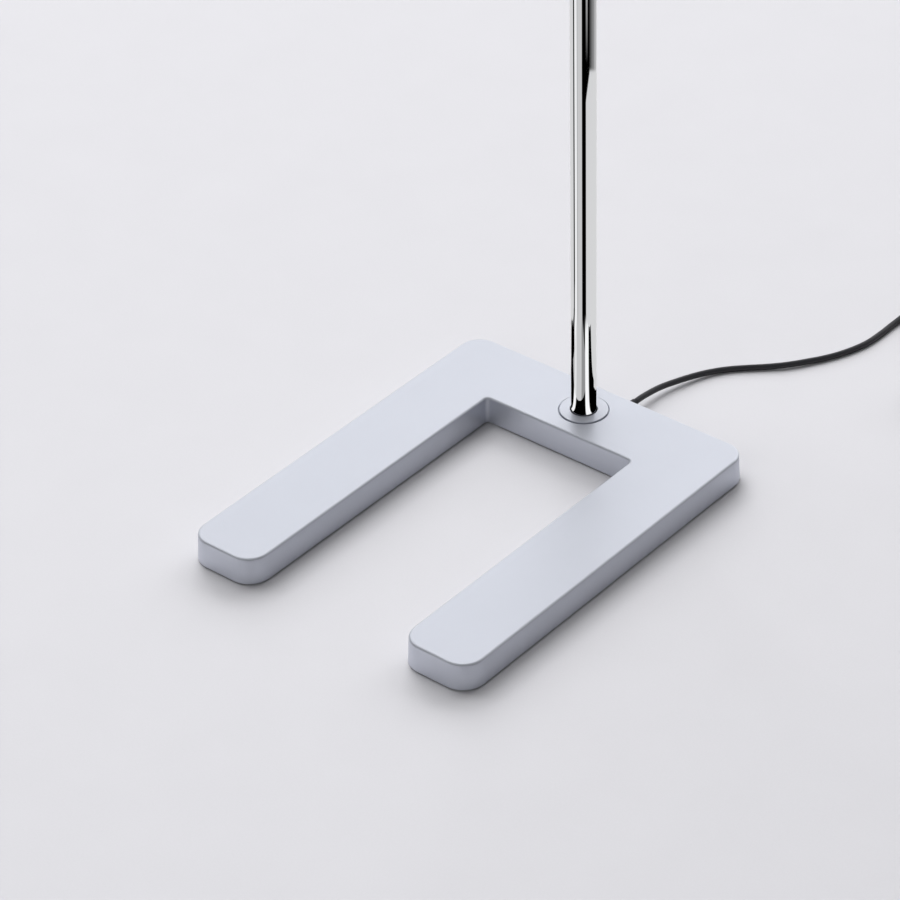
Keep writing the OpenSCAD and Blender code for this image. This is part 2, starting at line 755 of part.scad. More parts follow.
module casting_cuts() {
    at_pole() {
        translate([0, 0, ring_seat]) cylinder(d = recess_d, h = base_top, $fn = round_fn);
        translate([0, 0, base_top - recess_chamfer])
            cylinder(d1 = recess_d, d2 = recess_d + 2 * recess_chamfer, h = recess_chamfer, $fn = round_fn);
        translate([0, 0, web_top]) cylinder(d = foot_recess_d, h = base_top, $fn = round_fn);
        cylinder(d = bush_d + 2 * fit, h = base_top, $fn = round_fn);
        translate([0, stop_r, web_top - stop_seat])
            cylinder(d = stop_pin_d + 2 * fit, h = base_top, $fn = small_fn);
    }
    translate([0, pocket_y, 0]) plate(pocket_w, pocket_l, pocket_r, pocket_top);
    translate([0, pocket_y, 0])
        plate(cover_w + 2 * cover_gap, cover_l + 2 * cover_gap, pocket_r + cover_gap, cover_top);
    at_cover_screws()
        cylinder(d = cover_screw_d + 2 * fit, h = floor_gap + cover_screw_l + over, $fn = small_fn);
    at_clamp_screws() cylinder(d = cover_screw_d + 2 * fit, h = pocket_top + cover_screw_l, $fn = small_fn);
    at_glides() cylinder(d = glide_d + 2 * fit, h = floor_gap + glide_seat, $fn = small_fn);
    translate([exit_x, pocket_back - over, exit_z]) rotate([-90, 0, 0]) {
        cylinder(d = shank_d + 2 * fit, h = pocket_wall + 2 * over, $fn = small_fn);
        translate([0, 0, pocket_wall + over])
            cylinder(d = relief_d + 2 * seat_gap, h = pocket_wall, $fn = small_fn);
    }
}

module base_casting() {
    color(lacquer) difference() {
        union() {
            casting_leg(1);
            casting_leg(-1);
            casting_bar();
        }
        casting_cuts();
    }
}

module floor_glides() {
    color(glide_black) at_glides()
        cylinder(d = glide_d, h = floor_gap + glide_seat, $fn = small_fn);
}

module bottom_cover() {
    color(coated_black) difference() {
        translate([0, pocket_y, floor_gap]) plate(cover_w, cover_l, pocket_r, cover_t);
        at_cover_screws() translate([0, 0, floor_gap]) rotate([180, 0, 0])
            sunk_hole(cover_screw_d, cover_t + over);
    }
}

module cover_screws() {
    color(zinc_steel) at_cover_screws()
        translate([0, 0, floor_gap]) rotate([180, 0, 0]) sunk_screw(cover_screw_d, cover_screw_l);
}

module collar_ring() {
    color(lacquer) at_pole() translate([0, 0, ring_seat])
        rotate_extrude($fn = round_fn) {
            translate([ring_bore_d / 2, 0]) square([(ring_d - ring_bore_d) / 2 - ring_edge_r, ring_t]);
            translate([ring_d / 2 - ring_edge_r, 0]) square([ring_edge_r, ring_t - ring_edge_r]);
            translate([ring_d / 2 - ring_edge_r, ring_t - ring_edge_r])
                circle(r = ring_edge_r, $fn = small_fn);
        }
}

module stem_bush() {
    color(natural_plastic) at_pole() translate([0, 0, pocket_top])
        ring(bush_d, stem_d + 2 * fit, web_t);
}

module slip_ring() {
    color(natural_plastic) at_pole() translate([0, 0, web_top])
        ring(flange_d, slip_bore_d, slip_t);
}

module stop_pin() {
    color(turned_steel) at_pole() translate([0, stop_r, web_top - stop_seat])
        cylinder(d = stop_pin_d, h = stop_seat + slip_t + stop_rise, $fn = small_fn);
}

// Wiring in the pocket

// The cord's sheath ends inside the clamp, and its cores bend to the terminal block
module mains_cores() {
    lead_start = pocket_back - relief_flange_t;
    color(cord_black) translate([exit_x, lead_start, exit_z]) rotate([90, 0, 0])
        cylinder(r = cord_r, h = lead_start - core_start_y, $fn = small_fn);
    color(core_brown) for (k = [-1 : 1]) {
        bend_r = core_bend_r + core_pitch * (1 - k);
        translate([exit_x + k * core_pitch, core_start_y, exit_z]) rotate([90, 0, 0])
            cylinder(d = core_d, h = core_start_l, $fn = small_fn);
        translate([core_bend_x, core_bend_y, exit_z]) rotate([0, 0, 180])
            quarter_bend(bend_r, core_d);
        translate([core_bend_x, core_bend_y - bend_r, exit_z]) rotate([0, 90, 0])
            cylinder(d = core_d, h = terminal_x - core_bend_x, $fn = small_fn);
    }
}

// The lamp's own cores come down through the stem and run under the nut
module pole_cores() {
    color(core_brown) at_pole() for (k = [-1 : 1]) translate([0, k * core_pitch, 0]) {
        translate([pole_core_bend_r, 0, nut_z - elbow_gap]) rotate([90, 0, 0]) rotate([0, 0, 180])
            quarter_bend(pole_core_bend_r, core_d);
        translate([pole_core_bend_r, 0, nut_z - elbow_gap - pole_core_bend_r]) rotate([0, 90, 0])
            cylinder(d = core_d, h = terminal_x - pole_core_bend_r, $fn = small_fn);
    }
}

module at_terminal_screws() {
    for (k = [-1 : 1]) translate([terminal_x + terminal_w / 2 + k * terminal_screw_pitch,
        (terminal_front + terminal_back) / 2, pocket_top - terminal_h]) children();
}

module terminal_block() {
    color(board_white) difference() {
        translate([terminal_x, terminal_front, pocket_top - terminal_h])
            cube([terminal_w, terminal_back - terminal_front, terminal_h]);
        at_terminal_screws() translate([0, 0, -over])
            cylinder(d = terminal_screw_d + 2 * fit, h = over + terminal_screw_h + fit, $fn = small_fn);
    }
}

module terminal_screws() {
    color(brass) at_terminal_screws() difference() {
        cylinder(d = terminal_screw_d, h = terminal_screw_h, $fn = small_fn);
        translate([-terminal_screw_d, -terminal_slot_w / 2, -over])
            cube([2 * terminal_screw_d, terminal_slot_w, over + terminal_screw_h / 2]);
    }
}

module cord_clamp() {
    clamp_z = exit_z - cord_r - fit - clamp_strap_t;
    color(coated_black) difference() {
        translate([exit_x - clamp_w / 2, pocket_back - clamp_l, clamp_z])
            cube([clamp_w, clamp_l, pocket_top - clamp_z]);
        translate([exit_x, pocket_back + over, exit_z]) rotate([90, 0, 0])
            cylinder(r = cord_r + fit, h = clamp_l + 2 * over, $fn = small_fn);
        translate([exit_x, pocket_back + fit, exit_z]) rotate([90, 0, 0])
            cylinder(d = relief_d + 2 * fit, h = relief_flange_t + 2 * fit, $fn = small_fn);
        at_clamp_screws() translate([0, 0, clamp_z - over]) {
            cylinder(d = cover_screw_d + 2 * fit, h = pocket_top, $fn = small_fn);
            cylinder(d = cover_screw_d * head_dia_share + 2 * fit, h = over + clamp_head_sink,
                $fn = small_fn);
        }
    }
}

module clamp_screws() {
    clamp_z = exit_z - cord_r - fit - clamp_strap_t;
    color(zinc_steel) at_clamp_screws() translate([0, 0, clamp_z + clamp_head_sink]) rotate([180, 0, 0])
        cap_screw(cover_screw_d, pocket_top - clamp_z - clamp_head_sink + cover_screw_l - over);
}

// Moulded rubber boot: inner flange, shank in the wall, collar outside and a tapered tail
module strain_relief() {
    wall = pocket_wall;
    color(rubber_black) translate([exit_x, pocket_back, exit_z]) rotate([-90, 0, 0])
        rotate_extrude($fn = round_fn) polygon([
            [0, -relief_flange_t],
            [relief_d / 2, -relief_flange_t],
            [relief_d / 2, 0],
            [shank_d / 2, 0],
            [shank_d / 2, wall],
            [relief_d / 2, wall],
            [relief_d / 2, wall + relief_collar_t],
            [relief_shoulder_d / 2, wall + relief_collar_t],
            [relief_tip_d / 2, wall + relief_l],
            [0, wall + relief_l]]);
}

// Mains cord

module cord_run() {
    color(cord_black) tube(cord_route, cord_r, cord_sides);
}

module cord_coil() {
    color(cord_black) tube(coil_line, cord_r, coil_sides);
}

module cord_tail() {
    color(cord_black) tube([for (step = tail_steps) tail_start + step], cord_r, cord_sides);
}

// A flat band round both layers, on the far side of the coil, where they lie one on the other
module cord_tie() {
    first_pass = 0.25;
    last_pass = coil_turns / 2 - first_pass - half_climb;
    half_tie = tie_w / 2;
    inside_r = coil_radius(last_pass) - cord_r;
    facet_sag = inside_r * (1 - cos(180 / coil_steps));
    bow = inside_r - sqrt(inside_r * inside_r - half_tie * half_tie) + facet_sag;
    near = inside_r - bow - tie_gap;
    far = coil_radius(first_pass) + cord_r + tie_gap;
    low = coil_low_z - cord_r - tie_gap;
    high = coil_low_z + coil_pitch + cord_r + tie_gap;
    color(rubber_black) translate([coil_centre.x - half_tie, coil_centre.y, 0]) difference() {
        translate([0, near - tie_t, low - tie_t])
            cube([tie_w, far - near + 2 * tie_t, high - low + 2 * tie_t]);
        translate([-over, near, low]) cube([tie_w + 2 * over, far - near, high - low]);
    }
}

// Plug, lying on the floor with its pins side by side

module at_plug() {
    translate([tail_start.x, plug_y, plug_z]) rotate([90, 0, 0]) children();
}

module plug_body() {
    face_r = plug_face_d / 2;
    front_z = plug_body_l - plug_front_l;
    color(plug_black) difference() {
        at_plug() rotate_extrude($fn = round_fn) polygon([
            [0, 0],
            [plug_rear_d / 2, 0],
            [face_r * plug_waist_share, front_z * plug_waist_share],
            [face_r * plug_shoulder_share, front_z],
            [face_r, front_z + plug_bevel],
            [face_r, plug_body_l],
            [0, plug_body_l]]);
        at_plug() for (side = [-1, 1])
            translate([-earth_w / 2, side * (face_r - earth_depth / 2) - earth_depth / 2,
                front_z + plug_bevel]) cube([earth_w, earth_depth + fit, plug_front_l]);
        at_plug() for (side = [-1, 1]) translate([side * plug_pin_pitch / 2, 0, plug_body_l - plug_pin_seat])
            cylinder(d = plug_pin_d + 2 * fit, h = plug_pin_l, $fn = small_fn);
    }
}

module plug_pins() {
    color(nickel) at_plug() for (side = [-1, 1])
        translate([side * plug_pin_pitch / 2, 0, plug_body_l - plug_pin_seat]) {
            cylinder(d = plug_pin_d, h = plug_pin_seat + plug_pin_l - plug_pin_tip, $fn = small_fn);
            translate([0, 0, plug_pin_seat + plug_pin_l - plug_pin_tip])
                cylinder(d1 = plug_pin_d, d2 = plug_pin_tip_d, h = plug_pin_tip, $fn = small_fn);
        }
}

module earth_contacts() {
    face_r = plug_face_d / 2;
    strip_start = plug_body_l - plug_front_l + plug_bevel;
    color(nickel) at_plug() for (side = [-1, 1])
        translate([-earth_w / 2 + fit, side * (face_r - earth_depth / 2) - earth_depth / 2
            + (side > 0 ? 0 : earth_depth - earth_strip_t), strip_start + fit])
            cube([earth_w - 2 * fit, earth_strip_t, plug_body_l - strip_start - 2 * fit]);
}

// Pole

// Flange, hollow stem and plug in one turned piece; a groove under the flange runs over the
// stop pin, and a lug left in the groove meets the pin at either end of the turn
module pole_foot() {
    groove_in = stop_r - stop_groove_w / 2;
    groove_out = stop_r + stop_groove_w / 2;
    groove_top = web_top + slip_t + stop_groove_h;
    color(turned_steel) at_pole() difference() {
        union() {
            translate([0, 0, flange_z]) cylinder(d = flange_d, h = flange_t, $fn = round_fn);
            translate([0, 0, nut_z]) cylinder(d = stem_d, h = flange_z - nut_z, $fn = round_fn);
            translate([0, 0, flange_top]) cylinder(d = tube_bore_d - 2 * fit, h = plug_l, $fn = round_fn);
        }
        translate([0, 0, nut_z - over]) cylinder(d = stem_bore_d, h = flange_top + plug_l, $fn = small_fn);
        difference() {
            translate([0, 0, flange_z - over])
                cylinder(r = groove_out, h = groove_top - flange_z + over, $fn = round_fn);
            translate([0, 0, flange_z - 2 * over])
                cylinder(r = groove_in, h = flange_t + 2 * over, $fn = round_fn);
            translate([-stop_lug_w / 2, -groove_out - over, flange_z - 2 * over])
                cube([stop_lug_w, groove_out + over, flange_t + 2 * over]);
        }
    }
}

module spring_washer() {
    color(zinc_steel) at_pole() translate([0, 0, washer_z])
        ring(ring_nut_d - ring_nut_notch, stem_d + 2 * fit, spring_washer_t);
}

module ring_nut() {
    color(zinc_steel) at_pole() difference() {
        translate([0, 0, nut_z]) ring(ring_nut_d, stem_d + 2 * fit, ring_nut_t);
        for (a = [0 : 90 : 270]) rotate([0, 0, a])
            translate([ring_nut_d / 2 - ring_nut_notch, -ring_nut_notch, nut_z - over])
                cube([2 * ring_nut_notch, 2 * ring_nut_notch, ring_nut_t + 2 * over]);
    }
}

module pole_tube() {
    color(chrome) at_pole() difference() {
        translate([0, 0, flange_top]) ring(pole_d, tube_bore_d, tube_top - flange_top);
        translate([0, 0, keypad_z]) rotate([90, 0, 0])
            cylinder(d = keypad_hole_d, h = pole_d, $fn = small_fn);
    }
}

// The cable ends in a ball at the hinge axis, where the head's cable goes on
module pole_cable() {
    cable_r = cable_d / 2;
    color(cable_white) at_pole() translate([0, 0, nut_z]) rotate_extrude($fn = small_fn) {
        square([cable_r, hinge_z - nut_z]);
        translate([0, hinge_z - nut_z]) intersection() {
            circle(r = cable_r, $fn = small_fn);
            square([cable_r, cable_r]);
        }
    }
}

// The way that a cable takes through the hinge while the head tilts
module tilted_bores(first_turn) {
    for (k = [0 : tilt_steps]) rotate([first_turn + tilt_max * (2 * k / tilt_steps - 1), 0, 0])
        cylinder(d = cable_bore_d, h = barrel_d, $fn = small_fn);
}

module hinge_yoke() {
    color(chrome) difference() {
        union() {
            at_pole() translate([0, 0, tube_top - yoke_plug_l])
                cylinder(d = tube_bore_d - 2 * fit, h = yoke_plug_l + neck_h / 2, $fn = round_fn);
            at_pole() translate([0, 0, tube_top]) cylinder(d = pole_d, h = neck_h, $fn = round_fn);
            at_hinge() rotate([0, 90, 0]) cylinder(d = barrel_d, h = barrel_l, center = true, $fn = round_fn);
        }
        at_hinge() rotate([0, 90, 0]) cylinder(r = slot_r, h = hinge_slot_w, center = true, $fn = round_fn);
        at_hinge() translate([-hinge_slot_w / 2, -barrel_d, -slot_r])
            cube([hinge_slot_w, barrel_d, slot_r + barrel_d]);
        at_hinge() rotate([0, 90, 0])
            cylinder(d = hinge_pin_d + 2 * fit, h = 2 * barrel_l, center = true, $fn = round_fn);
        at_pole() translate([0, 0, tube_top - yoke_plug_l - over])
            cylinder(d = cable_bore_d, h = yoke_plug_l + neck_h, $fn = small_fn);
    }
}

module hinge_pin() {
    pin_l = barrel_l - 2 * pin_end_gap;
    color(turned_steel) at_hinge() difference() {
        rotate([0, 90, 0]) cylinder(d = hinge_pin_d, h = pin_l, center = true, $fn = round_fn);
        rotate([0, 90, 0]) cylinder(d = hinge_pin_bore, h = pin_l + 2 * over, center = true, $fn = small_fn);
        rotate([180, 0, 0]) cylinder(d = cable_bore_d, h = barrel_d, $fn = small_fn);
        tilted_bores(90);
    }
}

module hinge_caps() {
    color(chrome) at_hinge() for (side = [-1, 1]) scale([side, 1, 1]) rotate([0, 90, 0]) {
        translate([0, 0, barrel_l / 2]) cylinder(d = hinge_cap_d, h = hinge_cap_t, $fn = round_fn);
        translate([0, 0, barrel_l / 2 - cap_spigot_l])
            cylinder(d = hinge_pin_bore - 2 * fit, h = cap_spigot_l, $fn = small_fn);
    }
}

module friction_washers() {
    color(natural_plastic) at_hinge() for (side = [-1, 1])
        translate([side > 0 ? eye_t / 2 : -eye_t / 2 - friction_t, 0, 0]) rotate([0, 90, 0])
            ring(friction_d, hinge_pin_d + 2 * fit, friction_t);
}

// Keypad, clamped round the pole by its two shells

module at_keypad() {
    translate([0, pole_y, keypad_z]) children();
}

module keypad_block() {
    depth = keypad_front + keypad_back;
    translate([0, (keypad_back - keypad_front) / 2, -keypad_h / 2])
        slab(keypad_w, depth, keypad_h, keypad_r, keypad_edge);
}

module key_plan(grow) {
    rounded_rect(key_w + 2 * grow, key_h + 2 * grow, key_r + grow);
}

module at_keypad_screws(y) {
    for (x = [-1, 1], z = [-1, 1]) translate([x * keypad_screw_x, y, z * keypad_screw_z])
        rotate([-90, 0, 0]) children();
}

module keypad_front_shell() {
    color(keypad_black) at_keypad() difference() {
        intersection() {
            keypad_block();
            translate([-keypad_w, -2 * keypad_front, -keypad_h])
                cube([2 * keypad_w, 2 * keypad_front, 2 * keypad_h]);
        }
        cylinder(d = pole_d + 2 * fit, h = 2 * keypad_h, center = true, $fn = round_fn);
        translate([-cavity_w / 2, key_seat_y, -cavity_h / 2]) cube([cavity_w, -key_seat_y + over, cavity_h]);
        for (k = [-1 : 1]) translate([0, key_seat_y + over, k * key_pitch]) rotate([90, 0, 0])
            linear_extrude(height = keypad_wall + 2 * over) key_plan(key_gap);
        at_keypad_screws(-keypad_screw_l + keypad_back - keypad_head_sink - over)
            cylinder(d = keypad_screw_d + 2 * fit, h = keypad_front, $fn = small_fn);
    }
}

module keypad_back_shell() {
    head_d = keypad_screw_d * head_dia_share;
    color(keypad_black) at_keypad() difference() {
        intersection() {
            keypad_block();
            translate([-keypad_w, 0, -keypad_h]) cube([2 * keypad_w, 2 * keypad_back, 2 * keypad_h]);
        }
        cylinder(d = pole_d + 2 * fit, h = 2 * keypad_h, center = true, $fn = round_fn);
        at_keypad_screws(-over) cylinder(d = keypad_screw_d + 2 * fit, h = 2 * keypad_back, $fn = small_fn);
        at_keypad_screws(keypad_back - keypad_head_sink)
            cylinder(d = head_d + 2 * fit, h = keypad_back, $fn = small_fn);
    }
}

module keypad_screws() {
    color(zinc_steel) at_keypad() at_keypad_screws(keypad_back - keypad_head_sink)
        cap_screw(keypad_screw_d, keypad_screw_l);
}

module keypad_board() {
    color(board_green) at_keypad()
        translate([-cavity_w / 2 + keypad_board_gap, switch_y, -cavity_h / 2 + keypad_board_gap])
            cube([cavity_w - 2 * keypad_board_gap, board_t, cavity_h - 2 * keypad_board_gap]);
}

module keypad_switches() {
    color(switch_black) at_keypad() for (k = [-1 : 1]) translate([0, 0, k * key_pitch]) {
        translate([-switch_side / 2, plunger_y, -switch_side / 2]) cube([switch_side, switch_h, switch_side]);
        translate([0, plunger_y, 0]) rotate([90, 0, 0])
            cylinder(d = plunger_d, h = plunger_h, $fn = small_fn);
    }
}

module keypad_lead() {
    color(cord_black) at_keypad() translate([0, -cable_d / 2 - fit, 0]) rotate([90, 0, 0])
        cylinder(d = keypad_lead_d, h = -board_y - cable_d / 2 - fit, $fn = small_fn);
}

module key(k) {
    flange_w = key_w + 2 * key_flange_w;
    flange_h = key_h + 2 * key_flange_w;
    cap_h = keypad_wall + key_proud + fit;
    boss_l = key_boss_y - key_seat_y;
    color(key_grey) at_keypad() translate([0, key_seat_y + fit, k * key_pitch]) rotate([90, 0, 0]) {
        linear_extrude(height = cap_h) key_plan(0);
        translate([0, 0, -key_flange_t]) plate(flange_w, flange_h, key_r, key_flange_t);
        translate([0, 0, -boss_l]) cylinder(d = key_boss_d, h = boss_l, $fn = small_fn);
    }
}

module brighter_key() {
    key(1);
}

module power_key() {
    key(0);
}

module dimmer_key() {
    key(-1);
}

// Head

module head_arm() {
    arm_in = arm_foot_l / 2;
    arm_top = arm_h / 2;
    color(lacquer) at_hinge() difference() {
        union() {
            rotate([0, 90, 0]) cylinder(d = barrel_d, h = eye_t, center = true, $fn = round_fn);
            translate([-eye_t / 2, -head_back, -arm_top]) cube([eye_t, head_back, arm_h]);
            translate([-eye_t / 2, -head_back - head_wall - arm_in, -web_drop])
                cube([eye_t, head_wall + arm_in + over, arm_top + web_drop]);
            translate([-arm_foot_w / 2, -head_back - head_wall - arm_foot_l, -web_drop])
                cube([arm_foot_w, arm_foot_l, arm_foot_t]);
        }
        rotate([0, 90, 0]) cylinder(d = hinge_pin_d + 2 * fit, h = 2 * eye_t, center = true, $fn = round_fn);
        rotate([90, 0, 0]) cylinder(d = cable_bore_d, h = 2 * (head_back + arm_foot_l), $fn = small_fn);
        tilted_bores(180);
        translate([0, -pole_y, -hinge_z]) at_arm_screws() translate([0, 0, -over - arm_foot_t])
            cylinder(d = arm_screw_d + screw_pass, h = arm_foot_t + 2 * over, $fn = small_fn);
    }
}

module at_arm_screws() {
    for (x = [-1, 1], y = [arm_screw_in, arm_foot_l - arm_screw_in])
        translate([x * arm_screw_x, inner_rear - y, web_face + arm_foot_t]) children();
}

module arm_screws() {
    color(zinc_steel) at_arm_screws() cap_screw(arm_screw_d, arm_foot_t + head_web_t - panel_lift);
}

module at_trim_screws() {
    step = (inner_w - 2 * head_corner_r) / (trim_screw_count - 1);
    row = (inner_l - ledge_w) / 2;
    for (k = [0 : trim_screw_count - 1], y = [-1, 1])
        translate([(k - (trim_screw_count - 1) / 2) * step, head_y + y * row, head_bottom]) children();
}

module at_pillars() {
    for (x = [-1, 1], y = [-1, 1])
        translate([x * (inner_w / 2 - pillar_in), head_y + y * (inner_l / 2 - pillar_in), 0]) children();
}

module at_head(z) {
    translate([0, head_y, z]) children();
}

// The room inside the frame, to any height
module inner_plate(h) {
    plate(inner_w, inner_l, inner_corner_r, h);
}

// A panel that fills the frame from wall to wall, but for its gap
module panel(t) {
    plate(inner_w - 2 * panel_gap, inner_l - 2 * panel_gap, inner_corner_r - panel_gap, t);
}

module head_frame() {
    open_w = inner_w - 2 * ledge_w;
    open_l = inner_l - 2 * ledge_w;
    open_r = inner_corner_r - ledge_w;
    upper_ledge_z = top_cover_z - ledge_t;
    color(lacquer) difference() {
        union() {
            difference() {
                at_head(head_bottom) slab(head_w, head_l, head_h, head_corner_r, head_edge_r);
                at_head(head_bottom - over) inner_plate(lower_ledge_z - head_bottom + over);
                at_head(head_bottom) plate(open_w, open_l, open_r, web_z - head_bottom);
                at_head(lower_ledge_z + ledge_t) inner_plate(web_z - lower_ledge_z - ledge_t);
                at_head(web_face) inner_plate(upper_ledge_z - web_face);
                at_head(web_face) plate(open_w, open_l, open_r, head_h);
                at_head(top_cover_z) inner_plate(head_h);
            }
            at_pillars() translate([0, 0, web_face])
                cylinder(d = pillar_d, h = top_cover_z - web_face, $fn = small_fn);
        }
        at_pillars() translate([0, 0, top_cover_z - head_screw_l])
            cylinder(d = head_screw_d + 2 * fit, h = head_h, $fn = small_fn);
        at_trim_screws()
            cylinder(d = head_screw_d + 2 * fit, h = trim_screw_l + over, $fn = small_fn);
        at_arm_screws() translate([0, 0, -arm_foot_t - head_web_t - over])
            cylinder(d = arm_screw_d + 2 * fit, h = arm_foot_t + head_web_t, $fn = small_fn);
        at_hinge() translate([-eye_t / 2 - seat_gap, -head_back - head_wall - over, -web_drop])
            cube([eye_t + 2 * seat_gap, head_wall + 2 * over, web_drop + arm_h / 2 + seat_gap]);
        translate([-eye_t / 2 - seat_gap, inner_rear - ledge_w - over, web_face])
            cube([eye_t + 2 * seat_gap, ledge_w + over, top_cover_z - web_face]);
        translate([0, driver_y, web_z - over])
            cylinder(d = driver_hole_d, h = head_web_t + 2 * over, $fn = small_fn);
    }
}

module downlight_board() {
    color(board_white) at_head(board_z) plate(board_w, board_l, head_corner_r, board_t);
}

module diode(x, y, z) {
    translate([x - led_side / 2, y - led_side / 2, z]) cube([led_side, led_side, led_h]);
}

module downlight_diodes() {
    step_x = board_w * led_margin_share / (led_columns - 1);
    step_y = board_l * led_margin_share / (led_rows - 1);
    color(diode_yellow) for (i = [0 : led_columns - 1], j = [0 : led_rows - 1])
        diode((i - (led_columns - 1) / 2) * step_x, head_y + (j - (led_rows - 1) / 2) * step_y,
            board_z - led_h);
}

module uplight_boards() {
    color(board_white) for (x = [-1, 1])
        translate([x * strip_x - strip_w / 2, head_y - strip_l / 2, web_face])
            cube([strip_w, strip_l, board_t]);
}

module uplight_diodes() {
    step = strip_l * led_margin_share / (strip_leds - 1);
    color(diode_yellow) for (x = [-1, 1], k = [0 : strip_leds - 1])
        diode(x * strip_x, head_y + (k - (strip_leds - 1) / 2) * step, web_face + board_t);
}

module driver() {
    color(driver_grey) translate([0, driver_y, web_face])
        plate(driver_w, driver_l, driver_corner_r, driver_h);
}

// Two leads to the uplight boards and one down through the web to the downlight board
module driver_leads() {
    lead_z = web_face + lead_d / 2 + panel_lift;
    color(lead_red) {
        for (side = [-1, 1]) scale([side, 1, 1]) translate([driver_w / 2, driver_y, lead_z])
            rotate([0, 90, 0]) cylinder(d = lead_d, h = strip_x - (strip_w + driver_w) / 2, $fn = small_fn);
        translate([0, driver_y, web_z]) cylinder(d = lead_d, h = head_web_t, $fn = small_fn);
    }
}

module head_cable() {
    start = (cable_d / 2 * (1 + sin(tilt_max)) + elbow_gap) / cos(tilt_max);
    color(cable_white) at_hinge() translate([0, -start, 0]) rotate([90, 0, 0])
        cylinder(d = cable_d, h = pole_y - start - driver_y - driver_l / 2, $fn = small_fn);
}

module diffuser_panel() {
    color(prismatic) difference() {
        at_head(diffuser_z) panel(diffuser_t);
        at_trim_screws() cylinder(d = head_screw_d + screw_pass, h = head_h, $fn = small_fn);
        translate([0, sensor_y, head_bottom])
            cylinder(d = sensor_d + 2 * (sensor_flange_w + seat_gap), h = head_h, $fn = small_fn);
    }
}

module trim_frame() {
    open_w = inner_w - 2 * panel_gap - 2 * trim_w;
    open_l = inner_l - 2 * panel_gap - trim_w - band_w;
    color(lacquer) difference() {
        at_head(head_bottom) panel(trim_t);
        translate([0, (trim_w - band_w) / 2, 0]) at_head(head_bottom - over)
            plate(open_w, open_l, trim_open_r, trim_t + 2 * over);
        at_trim_screws() rotate([180, 0, 0]) sunk_hole(head_screw_d, trim_t + over);
        translate([0, sensor_y, head_bottom - over])
            cylinder(d = sensor_d + 2 * fit, h = trim_t + 2 * over, $fn = round_fn);
    }
}

module trim_screws() {
    color(zinc_steel) at_trim_screws() rotate([180, 0, 0])
        sunk_screw(head_screw_d, trim_screw_l);
}

// Domed lens through the trim, held by a flange on the trim's upper side
module sensor_lens() {
    lens_r = sensor_d / 2;
    sphere_r = (lens_r * lens_r + sensor_dome * sensor_dome) / (2 * sensor_dome);
    color(lens_white) translate([0, sensor_y, head_bottom]) {
        translate([0, 0, trim_t]) cylinder(r = lens_r + sensor_flange_w, h = sensor_flange_t, $fn = round_fn);
        cylinder(r = lens_r, h = trim_t, $fn = round_fn);
        intersection() {
            translate([0, 0, sphere_r - sensor_dome]) sphere(r = sphere_r, $fn = round_fn);
            translate([0, 0, -2 * sensor_dome]) cylinder(r = lens_r, h = 2 * sensor_dome, $fn = round_fn);
        }
    }
}

module sensor_board() {
    color(board_green) translate([0, sensor_y, web_z - board_t])
        cylinder(d = sensor_d, h = board_t, $fn = round_fn);
    color(can_metal) translate([0, sensor_y, web_z - board_t - sensor_can_h])
        cylinder(d = sensor_can_d, h = sensor_can_h, $fn = small_fn);
}

module top_cover() {
    color(clear_acrylic) difference() {
        at_head(top_cover_z) panel(top_cover_t);
        at_pillars() translate([0, 0, head_top]) sunk_hole(head_screw_d, top_cover_t + over);
    }
}

module top_cover_screws() {
    color(zinc_steel) at_pillars() translate([0, 0, head_top])
        sunk_screw(head_screw_d, top_cover_t + head_screw_l - over);
}

base_casting();
floor_glides();
bottom_cover();
cover_screws();
collar_ring();
stem_bush();
slip_ring();
stop_pin();
terminal_block();
terminal_screws();
mains_cores();
pole_cores();
cord_clamp();
clamp_screws();
strain_relief();
cord_run();
cord_coil();
cord_tie();
cord_tail();
plug_body();
plug_pins();
earth_contacts();
pole_foot();
spring_washer();
ring_nut();
pole_tube();
pole_cable();
hinge_yoke();
hinge_pin();
hinge_caps();
keypad_front_shell();
keypad_back_shell();
keypad_screws();
keypad_board();
keypad_switches();
keypad_lead();
power_key();
brighter_key();
dimmer_key();
friction_washers();
head_arm();
arm_screws();
head_frame();
downlight_board();
downlight_diodes();
uplight_boards();
uplight_diodes();
driver();
driver_leads();
head_cable();
diffuser_panel();
trim_frame();
trim_screws();
sensor_lens();
sensor_board();
top_cover();
top_cover_screws();
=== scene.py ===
import math

import bmesh
import bpy
from mathutils import Matrix, Vector


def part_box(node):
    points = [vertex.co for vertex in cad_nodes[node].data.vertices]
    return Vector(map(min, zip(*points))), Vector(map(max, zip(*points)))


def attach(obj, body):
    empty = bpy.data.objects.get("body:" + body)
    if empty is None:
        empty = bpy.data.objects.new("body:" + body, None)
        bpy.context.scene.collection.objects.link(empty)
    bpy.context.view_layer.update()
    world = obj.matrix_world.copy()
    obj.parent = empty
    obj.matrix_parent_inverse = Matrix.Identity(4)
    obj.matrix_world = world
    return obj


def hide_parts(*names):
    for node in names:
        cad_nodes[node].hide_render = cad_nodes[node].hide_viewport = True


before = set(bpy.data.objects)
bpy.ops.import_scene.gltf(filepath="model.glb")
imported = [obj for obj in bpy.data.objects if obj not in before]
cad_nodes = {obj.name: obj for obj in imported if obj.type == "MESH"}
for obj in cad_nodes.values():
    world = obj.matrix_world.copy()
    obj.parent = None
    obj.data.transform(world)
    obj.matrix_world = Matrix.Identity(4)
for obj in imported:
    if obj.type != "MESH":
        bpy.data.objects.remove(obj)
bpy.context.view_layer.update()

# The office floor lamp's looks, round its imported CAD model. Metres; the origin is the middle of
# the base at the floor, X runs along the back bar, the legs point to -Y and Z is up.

CAMERA_PLACE = (1.8861, -2.2669, 2.1570)
CAMERA_RIGHT = (0.773935, 0.632899, -0.021537)
CAMERA_DOWN = (0.350989, -0.457014, -0.817279)
CAMERA_LENS_MM = 151.62
